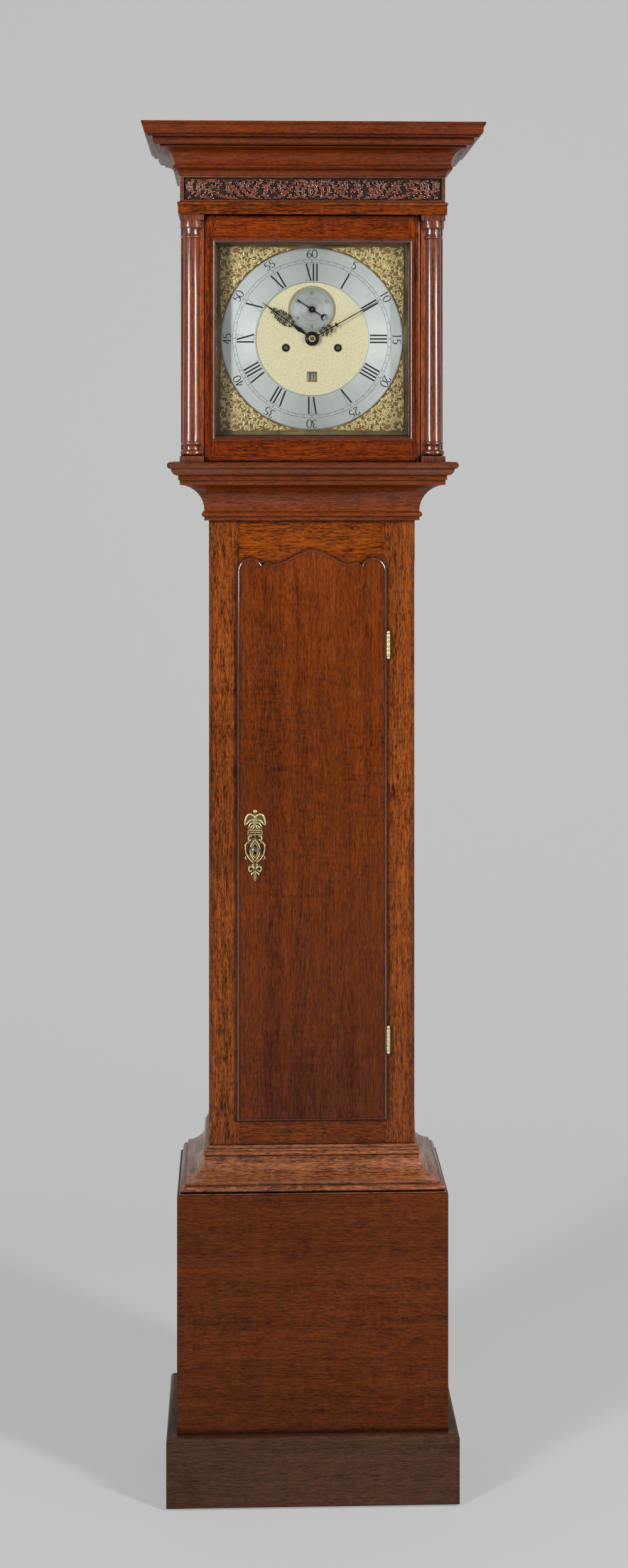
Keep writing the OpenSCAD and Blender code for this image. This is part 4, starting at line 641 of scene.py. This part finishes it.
material, tree = blank("dial_brass")
where = own(tree)
matted = maths(tree, "LESS_THAN", off_centre(tree, where, dial_z), ring_in + 0.001)
speck = between(tree, noise(tree, where, (420, 420, 420), 3, 0.7), 0.35, 0.65)
tarnish = between(tree, noise(tree, where, (22, 22, 22), 4, 0.6), 0.35, 0.65)
surface(tree, {
    "Base Color": mixed(tree, matted,
                        mixed(tree, tarnish, paint(118, 98, 64), paint(180, 154, 108)),
                        mixed(tree, speck, paint(236, 218, 168), paint(255, 250, 216))),
    "Metallic": between(tree, matted, 0, 1, 0.4, 0.0),
    "Roughness": between(tree, matted, 0, 1, 0.36, 0.62),
    "Normal": wire(tree, "Bump", {
        "Strength": maths(tree, "MULTIPLY", matted, 0.35), "Distance": 0.0004,
        "Height": wire(tree, "TexVoronoi", {"Vector": where, "Scale": 1500.0})})})
finish_part("dial_plate", material)

# Four plain lengths of brass edge the date window. They are filed to a slope, mitred,
# polished and soldered to the plate.
window_z, bevel_in, bevel_out, bevel_rise, bevel_t = dial_z - 0.059, 0.0052, 0.0074, 0.0005, 0.0004
brass = metal("worn_brass", (206, 170, 96), 0.26, 0.85, (0.05, 0.03, 0.01))
for turn, side in enumerate(("top", "right", "bottom", "left")):
    slope = bmesh.new()
    sine, cosine = math.sin(math.radians(90 * turn)), math.cos(math.radians(90 * turn))
    slope.faces.new([
        slope.verts.new((u * cosine + v * sine, dial_face - 0.00015 - rise,
                         window_z + v * cosine - u * sine))
        for u, v, rise in ((-bevel_out, bevel_out, 0), (bevel_out, bevel_out, 0),
                           (bevel_in, bevel_in, bevel_rise), (-bevel_in, bevel_in, bevel_rise))])
    bevel = piece("date_bevel_" + side, slope, brass, "case")
    bevel.modifiers.new("thickness", "SOLIDIFY").thickness = bevel_t

# Turned rings of brass are pressed in round the winding holes, where the key wears them, and
# brighter ones round the sunk seconds dial.
seconds_at = (0.0, dial_z + 0.0455)
holes = {"left": (-0.0405, dial_z - 0.014), "right": (0.0405, dial_z - 0.014)}


def circle(radius, at=(0.0, 0.0), count=96):
    """Points (x, z) round a point of the dial."""
    return [(at[0] + radius * math.sin(2 * math.pi * i / count),
             at[1] + radius * math.cos(2 * math.pi * i / count)) for i in range(count)]


def turned(name, rounds, at, material, body, slot=None, count=48, closed=False):
    """Pieces turned about an axis from front to back. Each profile of (radius, y) ends on
    flat faces, or is closed to a ring."""
    build = bmesh.new()
    for profile in rounds:
        loops = [[build.verts.new((x, y, z)) for x, z in circle(radius, at, count)]
                 for radius, y in profile]
        for a, b in zip(loops, loops[1:] + loops[:1] * closed):
            band(build, a, b)
        if not closed:
            build.faces.new(loops[0])
            build.faces.new(loops[-1])
    return piece(name, build, material, body, even=not closed)


def hoops(name, spans, at, front, back, material, slot=None, count=128):
    """Flat rings on the case, from one radius to another."""
    turned(name, [[(inner, front), (outer, front), (outer, back), (inner, back)]
                  for inner, outer in spans], at, material, "case", slot, count, closed=True)


for side, hole in holes.items():
    hoops("hole_ring_" + side, [(0.0056, 0.0062), (0.0066, 0.0069)], hole, dial_face - 0.00012,
          dial_face + 0.0002, brass, "brass", 48)
bright_brass = metal("bright_brass", (240, 220, 168), 0.24, 0.45, spread=0.2)
hoops("seconds_bezel", [(0.0341, 0.0347), (0.0350, 0.0370)], seconds_at, dial_face - 0.0005,
      dial_face + 0.0002, bright_brass, "brass")

# The chapter ring and the seconds ring are brass, silvered with a paste and brushed in circles.
# The brushing catches the side lamps, and a painted reflection makes the colour brighter at
# three and nine and duller at twelve and six.
material, tree = blank("silvered_brass")
where = own(tree)
reach = off_centre(tree, where, dial_z)
on_chapter = maths(tree, "GREATER_THAN", reach, ring_in - 0.001)
spoke = vectors(tree, "NORMALIZE", either(
    tree, on_chapter, vectors(tree, "SUBTRACT", where, (0, 0, seconds_at[1])),
    vectors(tree, "SUBTRACT", where, (0, 0, dial_z))))
cloud = between(tree, noise(tree, where, (16, 16, 16), 4, 0.65), 0.35, 0.68)
fleck = between(tree, noise(tree, where, (260, 260, 260), 2, 0.6), 0.66, 0.78, 0, 0.5)
rub = noise(tree, wire(tree, "CombineXYZ", {0: reach}), (2600, 1, 1), 2, 0.6)
# Painted reflection: the colour dulls towards twelve and six and stays bright at three and nine,
# as if the side lamps shone in the brushing.
painted_reflection_side = maths(tree, "ABSOLUTE", vectors(tree, "DOT_PRODUCT", spoke, (1, 0, 0)).outputs[1])
tone = mixed(tree, cloud, paint(232, 238, 238), paint(252, 255, 255))
for share, dull in ((fleck, paint(140, 138, 126)),
                    (between(tree, on_chapter, 0, 1, 0.35, 0), paint(120, 124, 126)),
                    (between(tree, painted_reflection_side, 0.15, 0.9, 0.42, 0), paint(150, 148, 138))):
    tone = mixed(tree, share, tone, dull)
surface(tree, {
    "Base Color": tone, "Metallic": 0.2, "Roughness": between(tree, rub, 0.3, 0.7, 0.30, 0.42),
    "Anisotropic": 0.85, "Tangent": spoke})
finish_part("chapter_rings date_ring", material)

# The hours, the minutes and four circles are engraved in the chapter ring, and the cuts are
# filled with black wax. Each figure is drawn as pen strokes, and stands as a thin inlay.
inlay_out, inlay_in = 0.00005, 0.0001
wax, tree = blank("black_wax")
surface(tree, {
    "Base Color": mixed(tree, noise(tree, own(tree), (700, 700, 700)),
                        (0.004, 0.004, 0.005, 1), (0.018, 0.017, 0.016, 1)),
    "Roughness": 0.42})


def plates(name, outlines, front, back, material, body, slot=None):
    """Flat pieces cut to closed outlines of (x, z), from one level to another."""
    build = bmesh.new()
    for outline in outlines:
        solid(build, outline, front, back, facing=True)
    return piece(name, build, material, body)


def ribbon(points, widths):
    """The outline of a stroke along points, as wide as given at each of them."""
    left, right = [], []
    for i, (x, z) in enumerate(points):
        dx, dz = heading(points, i)
        half = (widths[i] if isinstance(widths, list) else widths) / 2
        left.append((x - dz * half, z + dx * half))
        right.append((x + dz * half, z - dx * half))
    return left + right[::-1]


def stroke(points, thin, thick):
    """A pen stroke along a smooth curve, thick where it runs up or down."""
    path = smooth(points)
    return ribbon(path, [thin + (thick - thin) * abs(heading(path, i)[1])
                         for i in range(len(path))])


digit_strokes = {
    "0": [[(0, 100), (-20, 86), (-29, 50), (-20, 14), (0, 0)],
          [(0, 0), (20, 14), (29, 50), (20, 86), (0, 100)]],
    "1": [[(0, 0), (0, 100)], [(-13, 84), (0, 100)], [(-13, 0), (13, 0)]],
    "2": [[(-20, 72), (-16, 93), (4, 100), (23, 78), (8, 40), (-26, 2)],
          [(-26, 2), (-10, 9), (10, 0), (28, 12)]],
    "3": [[(-20, 84), (0, 100), (20, 80), (2, 55)],
          [(2, 55), (25, 30), (2, 0), (-24, 14)]],
    "4": [[(10, 0), (10, 100)], [(10, 100), (-28, 30)], [(-28, 30), (28, 30)]],
    "5": [[(-15, 95), (5, 93), (24, 100)], [(-15, 95), (-18, 52)],
          [(-18, 52), (4, 60), (25, 32), (6, 0), (-22, 12)]],
    "6": [[(20, 93), (-6, 84), (-27, 40), (-12, 4), (2, 0)],
          [(2, 0), (26, 28), (4, 55), (-24, 34)]],
    "7": [[(-22, 95), (24, 98)], [(24, 98), (0, 45), (-6, 0)]],
    "8": [[(0, 100), (-20, 77), (12, 48), (24, 20), (0, 0)],
          [(0, 0), (-25, 22), (-6, 52), (20, 78), (0, 100)]],
    "9": [[(-20, 7), (6, 16), (27, 60), (12, 96), (-2, 100)],
          [(-2, 100), (-26, 72), (-4, 45), (24, 66)]],
}


def placed(outlines, degrees, radius, at, heads=1):
    """Outlines of (u across, v up) stood on a circle, with their heads out, or in by -1."""
    sine, cosine = math.sin(math.radians(degrees)), math.cos(math.radians(degrees))
    return [[(at[0] + (radius + heads * v) * sine + heads * u * cosine,
              at[1] + (radius + heads * v) * cosine - heads * u * sine) for u, v in outline]
            for outline in outlines]


def number(value, tall, thin, thick, advance=0.64):
    """The strokes of a number, centred, standing on the line."""
    out = []
    for i, digit in enumerate(str(value)):
        shift = (i - (len(str(value)) - 1) / 2) * advance * tall
        for points in digit_strokes[digit]:
            out.append([(x + shift, z) for x, z in stroke(
                [(u * tall / 100, v * tall / 100) for u, v in points], thin, thick)])
    return out


def roman(text, tall, bar, hair):
    """The strokes of a Roman number: broad and hairline strokes between hairline serifs."""
    widths = {"I": 0.0054, "V": 0.0098, "X": 0.0100}
    lean_in, foot_x, serif_up, serif_in = 0.0012, 0.0004, 0.0002, 0.0003
    total = sum(widths[c] for c in text)
    edge, out = -total / 2, []
    for letter in text:
        wide = widths[letter]
        middle, half = edge + wide / 2, wide / 2 - lean_in
        if letter == "I":
            out.append(ribbon([(middle, 0), (middle, tall)], bar))
        elif letter == "V":
            out.append(ribbon([(middle - half, tall), (middle + foot_x, 0)], bar))
            out.append(ribbon([(middle + half, tall), (middle + foot_x, 0)], hair))
        else:
            out.append(ribbon([(middle - half, tall), (middle + half, 0)], bar))
            out.append(ribbon([(middle + half, tall), (middle - half, 0)], hair))
        for level in (serif_up, tall - serif_up):
            if letter != "V" or level > tall / 2:
                out.append(ribbon([(middle - wide / 2 + serif_in, level),
                                   (middle + wide / 2 - serif_in, level)], hair))
        edge += wide
    return out


ring_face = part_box("chapter_rings")[0].y
faces = (ring_face - inlay_out, ring_face + inlay_in)
cuts = []
for hour, text in enumerate("XII I II III IIII V VI VII VIII IX X XI".split()):
    cuts += placed(roman(text, 0.0265, 0.0024, 0.00042), 30 * hour, 0.0902, dial_at)
    cuts += placed(number(5 * hour or 60, 0.0130, 0.00055, 0.0016), 30 * hour, 0.1256, dial_at)
for minute in range(60):
    cuts += placed([ribbon([(0, 0), (0, 0.0045)], 0.00042 if minute % 5 else 0.0007)],
                   6 * minute, 0.1185, dial_at)
plates("hour_engraving", cuts, *faces, wax, "case")
hoops("circle_engraving", [(0.1183, 0.11872), (0.1228, 0.12322), (0.0884, 0.08875),
                           (0.1397, 0.14)], dial_at, *faces, wax, count=192)

# The seconds dial is sunk behind the plate, and engraved with its tens, its seconds and a star
# of rays round the arbor, all filled with the same wax.
sunk = min(v.co.y for v in parts["chapter_rings"].data.vertices
           if math.hypot(v.co.x, v.co.z - seconds_at[1]) < 0.0336) - inlay_out
faces = (sunk, sunk + inlay_in)
cuts = []
for tens in range(1, 7):
    cuts += placed(number(10 * tens, 0.0046, 0.00028, 0.0006), 60 * tens, 0.0236, seconds_at)
for second in range(60):
    cuts += placed([ribbon([(0, 0), (0, 0.0020 if second % 5 else 0.0030)], 0.00034)],
                   6 * second, 0.0298, seconds_at)
for ray in range(32):
    far = (0.0165, 0.0095, 0.0125, 0.0095)[ray % 4]
    cuts += placed([ribbon([(0, 0.0052), (0, far)], [0.0005, 0.00012])], 11.25 * ray, 0,
                   seconds_at)
plates("seconds_engraving", cuts, *faces, wax, "case")
hoops("seconds_circles", [(0.0296, 0.02985), (0.0328, 0.03305), (0.0172, 0.01745)], seconds_at,
      *faces, wax)

# The date ring is silvered brass and turns behind its window, engraved with the thirty-one
# days. The seventeenth shows.
date_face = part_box("date_ring")[0].y
cuts = []
for day in range(1, 32):
    cuts += placed(number(day, 0.0066, 0.0003, 0.0009, 0.58), 180 + 360 * (day - 17) / 31,
                   0.0622, dial_at, -1)
plates("date_engraving", cuts, date_face - inlay_out, date_face + inlay_in, wax, "date_ring")

# A domed washer, turned from brass and polished, keeps the hands on their arbors. A taper pin
# holds it.
collet_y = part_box("minute_hand")[0].y
turned("hand_washer", [[(radius / 1e4, collet_y + back / 1e4) for radius, back in (
    (4, -10), (18, -9), (22, -1), (34, -5), (52, -4), (63, 4), (64, 10))]],
       dial_at, bright_brass, "minute", "brass")

# The four corner pieces are cast brass, chased into scrolls and leaves and fire-gilded. The
# gilding is bright on the high places, and the casting under them is painted a dark brass as
# the shade in the gaps and piercings. Each is even about its diagonal.
# Painted shade: the casting under the scrolls is a darker brass, standing in for the shade between
# them.
finish_part("spandrels", metal("gilding_shade_ground", (178, 130, 70), 0.45, 0.1))
gilt = metal("gilding", (255, 232, 170), 0.2, 0.22, (0.24, 0.12, 0.03), 0.0, 240, deep=0.85)
corner_low, corner_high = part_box("spandrels")
reach_in, reach_out, cast_y = 0.026, corner_high.x - 0.0006, corner_low.y + 0.0006


def on_corner(x, z):
    """Whether a point lies on a corner piece, clear of the chapter ring and of the edges."""
    across, along = max(x, z), min(x, z)
    return (across < reach_out and along > reach_in and math.hypot(x, z) > ring_out + 0.0022
            and (along > 0.045 or across > 0.1352))


tries, apart = 2600, 0.0026
chaser = random.Random(5)
scrolls = bmesh.new()
done = []
for _ in range(tries):
    x, z = chaser.uniform(reach_in, reach_out), chaser.uniform(reach_in, reach_out)
    if (z > x or not on_corner(x, z)
            or any(math.hypot(x - a, z - b) < apart for a, b in done)):
        continue
    done.append((x, z))
    start, size = chaser.uniform(0, 360), chaser.uniform(0.0026, 0.0042)
    if chaser.random() < 0.5:
        turn = chaser.choice((-1, 1)) * chaser.uniform(200, 330)
        path = curl(x, z, size, start, turn, 0.35, 9)
    else:
        bend, course = chaser.uniform(-1.1, 1.1), math.radians(start)
        path = [(x, z)]
        for k in range(7):
            course += bend / 6
            path.append((path[-1][0] + size * 0.36 * math.cos(course),
                         path[-1][1] + size * 0.36 * math.sin(course)))
    path = [point for point in path if on_corner(*point)]
    if len(path) < 5:
        continue
    for half_path in (path, [(b, a) for a, b in path]):
        for sx, sz in ((1, 1), (-1, 1), (-1, -1), (1, -1)):
            ridge(scrolls, [(sx * a, dial_z + sz * b) for a, b in half_path], size * 0.76,
                  0.0014, cast_y, taper=0.5)
piece("spandrel_scrolls", scrolls, gilt, "case", even=True)

# The pane of the hood door is old crown glass, thin and faintly green, bedded in putty.
material, tree = blank("crown_glass")
wave = noise(tree, own(tree), (9, 9, 14), 1)
wire(tree, "OutputMaterial", {0: wire(tree, "MixShader", {
    0: wire(tree, "Fresnel", {"IOR": 1.35}),
    1: wire(tree, "BsdfTransparent", {"Color": (0.985, 0.995, 0.985, 1)}),
    2: wire(tree, "BsdfGlossy", {
        "Color": (1, 1, 1, 1), "Roughness": 0.03, "Normal": wire(tree, "Bump", {
            "Strength": 0.04, "Distance": 0.002, "Height": wave})})})})
finish_part("hood_glass", material)

# The hood door swings on brass pins let into its corners, and the trunk door on two brass
# butts whose pins end in small balls.
finish_part("hood_pivots", brass, 0.0002)
hinge_brass = metal("hinge_brass", (236, 218, 168), 0.28, 0.5, (0.14, 0.09, 0.04), 0.3)
finish_part("hinge_butts hinge_flaps", hinge_brass, 0.0002)

# The lock is an iron box screwed inside the trunk door, with a sliding bolt, and is worked by
# a steel key.
steel = metal("old_steel", (150, 148, 142), 0.34, 0.9, (0.02, 0.015, 0.012))
finish_part("door_lock", iron, 0.0003)
finish_part("lock_bolt", steel, 0.0003)
finish_part("door_key", steel, 0.0002)

# The keyhole plate is cast and pierced brass, pinned on. Its face is in relief: a bird with
# spread wings on a block, scrolls round a pointed oval, and a leafy drop, each line drawn in
# millimetres for one half. Its high places are rubbed bright.
finish_part("escutcheon", metal("pierced_brass", (142, 112, 62), 0.35, 0.7), 0.0002)
plate_low, plate_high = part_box("escutcheon")
plate_x, drawn_h, drawn_top = (plate_low.x + plate_high.x) / 2, 0.1145, 37.2
mm = (plate_high.z - plate_low.z) / drawn_h / 1000
relief_lines = [
    ([(1, 25), (-7, 30), (-13, 27), (-16, 18), (-16, 12)], 3.0),
    ([(-2, 21), (-8, 20), (-14, 13)], 2.4), ([(-2, 17), (-7, 15), (-11, 9)], 2.4),
    ([(-1, 13), (-5, 11), (-8, 7)], 2.2), ([(0, 27), (0, 20), (0, 12)], 6.0),
    ([(-1, 12), (-4, 6)], 1.8), ([(-3, 33.5), (0, 35), (2, 33)], 4.0),
    ([(-11, 4.5), (0, 4.5)], 1.5), ([(-11, -2.5), (0, -2.5)], 1.5), ([(-11, 4), (-11, -2)], 1.5),
    ([(-9, 1), (0, 1)], 1.3), ([(-5, -5), (-9, -5), (-11, -9), (-8, -12), (-6, -9)], 1.8),
    ([(-8, -13), (-14, -17), (-15, -26), (-13, -35), (-8, -42), (-3, -47)], 2.0),
    ([(0, -10), (-6, -19), (-8, -27), (-6, -36), (0, -45)], 1.8),
    ([(0, -15), (-4, -22), (-5, -28), (-4, -34), (0, -40)], 1.2), ([(-15, -21), (-17, -18)], 1.6),
    ([(-14, -36), (-16, -40), (-12, -41)], 1.6), ([(-2, -48), (-4, -52), (-1, -55)], 1.8),
    ([(-1, -57), (-6, -53), (-10, -56), (-8, -61), (-4, -59)], 2.0),
    ([(-1, -61), (-5, -64), (-6, -67)], 2.4), ([(0, -59), (0, -68), (0, -76)], 3.6),
]
relief = bmesh.new()
for side in (-1, 1):
    for points, width in relief_lines:
        ridge(relief, [(plate_x + side * x * mm, plate_high.z - (drawn_top - z) * mm)
                       for x, z in smooth(points, 4)], width / 1000, 0.0009, plate_low.y,
              taper=0.45)
piece("escutcheon_relief", relief, hinge_brass, "trunk_door", even=True)

# The movement is two plates of yellow brass held apart by turned pillars, with the wheels
# between them and the motion work in front, cut from the same sheet and drawn bright.
movement_brass = metal("movement_brass", (196, 158, 84), 0.30, 0.85, (0.05, 0.03, 0.01),
                       brushed=(60, 60, 1400))
finish_part("front_plate back_plate plate_pillars back_cock great_wheel going_barrel "
            "strike_barrel centre_wheel hour_wheel minute_wheel third_wheel escape_wheel",
            movement_brass, 0.0001)

# The barrels run on arbors of steel, filed square where the winding key goes on. So are the
# anchor, the hammer, the bell's stand and the pendulum's rod of steel.
arbor_r = 0.0043
for name, (x, z) in (("going_barrel", holes["right"]), ("strike_barrel", holes["left"])):
    overlay(parts[name], steel, lambda face: math.hypot(
        face.center.x - x, face.center.z - z) < arbor_r)
finish_part("anchor bell_stand hammer pendulum_rod", steel, 0.0002)

# The bell is cast in pale bell metal and turned, and stands over the movement. The pendulum's
# bob is a lens of brass filled with lead.
finish_part("bell", metal("bell_metal", (172, 150, 104), 0.28, 0.9, (0.04, 0.03, 0.015)), 0.0003)
finish_part("pendulum_bob", brass, 0.0004)

# The two weights are bare lead, cast in a tube, and dull and knocked with age. Each hangs from
# a pulley by its stirrup.
lead = metal("lead", (120, 120, 118), 0.55, 0.5, (0.03, 0.03, 0.03), 0.8, 30)
finish_part("going_weight strike_weight", lead, 0.0006)

# The lines are twisted gut. Between the seatboard and its pulley each one has two straight
# strands, which draw out as the weight goes down.
gut, tree = blank("gut_line")
twist = wire(tree, "TexWave", {"Vector": own(tree), "Scale": 160.0, "Distortion": 1.5},
             bands_direction="DIAGONAL")
surface(tree, {
    "Base Color": mixed(tree, twist, paint(150, 112, 66), paint(206, 176, 124)),
    "Roughness": 0.45, "Normal": wire(tree, "Bump", {
        "Strength": 0.5, "Distance": 0.0004, "Height": twist})})
finish_part("line_tops", gut)
for name, weight in (("going_line", "going_weight"), ("strike_line", "strike_weight")):
    low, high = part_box(name)
    strand_r = (high.y - low.y) / 2
    strands = bmesh.new()
    for x in (low.x + strand_r, high.x - strand_r):
        solid(strands, circle(strand_r, (x, low.y + strand_r), 12), low.z, high.z)
    line = piece(name + "_strands", strands, gut, None)
    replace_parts(line, name)
    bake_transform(line)

# The hands are filed from steel and blued by heat until nearly black. The seconds hand is as
# it was cut, and the two others are pierced with scrolls and thickened at their bosses.
blued = metal("blued_steel", (30, 32, 40), 0.25, 0.8, (0.003, 0.003, 0.004))
finish_part("seconds_hand", blued, 0.0001)
boss_hole, boss_rim, ball_r, blade_from = 0.0024, 0.0064, 0.00075, 0.020
scroll_thin, scroll_swell, scroll_tight, scroll_steps = 0.00045, 0.0011, 0.30, 18


def filed_hand(name, body, stem, scrolls, boss):
    """A pierced hand in place of a CAD one. The stem is a list of (distance from the centre,
    width), and each scroll has its middle across and along, its radius, where it starts and how
    far it turns, all in millimetres and degrees, on one side of the stem and then the other."""
    blade = [v.co for v in parts[name].data.vertices
             if math.hypot(v.co.x, v.co.z - dial_z) > blade_from]
    front, back = min(v.y for v in blade), max(v.y for v in blade)
    tip = max(blade, key=lambda v: math.hypot(v.x, v.z - dial_z))
    outlines = [ribbon([(0, v / 1000) for v, wide in stem], [wide / 1000 for v, wide in stem])]
    widths = [scroll_thin + scroll_swell * math.sin(math.pi * (0.12 + 0.80 * i / scroll_steps))
              for i in range(scroll_steps + 1)]
    for side in (-1, 1):
        for u, v, radius, start, sweep in scrolls:
            path = curl(u / 1000, v / 1000, radius / 1000, start, sweep, scroll_tight,
                        scroll_steps)
            outlines += [[(side * x, z) for x, z in outline] for outline in (
                ribbon(path, widths), circle(ball_r, path[-1], 12))]
    angle = math.degrees(math.atan2(tip.x, tip.z - dial_z))
    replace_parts(plates(name + "_filed", placed(outlines, angle, 0.0, dial_at), front, back,
                       blued, body, "blued"), name)
    turned(name + "_boss", [[
        (boss_hole, back + 0.0003), (boss - 0.0004, back + 0.0003), (boss, back - 0.0001),
        (boss, front + 0.0001), (boss - 0.0006, front - 0.0002), (boss * 0.72, front - 0.0003),
        (boss * 0.66, front - 0.0008), (boss_rim, front - 0.0011), (boss_hole, front - 0.0011)]],
           dial_at, blued, body, "blued")


filed_hand("hour_hand", "hour", [
    (9, 3.4), (14, 2.8), (19, 4.0), (24, 6.4), (29, 5.2), (34, 2.4), (38, 1.6), (46, 1.4),
    (52, 2.2), (56, 1.2), (64, 1.2), (69, 2.4), (73, 1.3), (79, 2.6), (84, 1.5), (96, 0.3)], [
    (3.4, 40, 3.2, 180, 300), (6.6, 46.5, 3.4, 215, -330), (3.0, 51, 2.6, 200, 300),
    (7.0, 55, 3.1, 200, -320), (3.2, 60, 2.8, 190, 310), (6.2, 64.5, 2.8, 210, -320),
    (2.6, 68.5, 2.2, 190, 300), (3.6, 74, 2.3, 230, -300), (8.6, 50.5, 1.7, 260, -260),
    (8.0, 60, 1.6, 250, -260)], 0.0110)
filed_hand("minute_hand", "minute", [
    (9, 2.6), (15, 1.6), (18, 3.0), (22, 1.4), (27, 2.6), (31, 1.4), (36, 2.0), (41, 1.2),
    (44, 2.2), (48, 1.4), (70, 1.5), (90, 1.3), (108, 1.0), (118, 0.3)], [
    (2.9, 18, 2.7, 190, 300), (5.6, 22.5, 2.7, 215, -330), (2.8, 27, 2.5, 190, 300),
    (5.0, 31.5, 2.3, 215, -320), (2.4, 34.5, 2.0, 190, 290), (2.6, 43.2, 1.9, 250, -260)],
    0.0098)
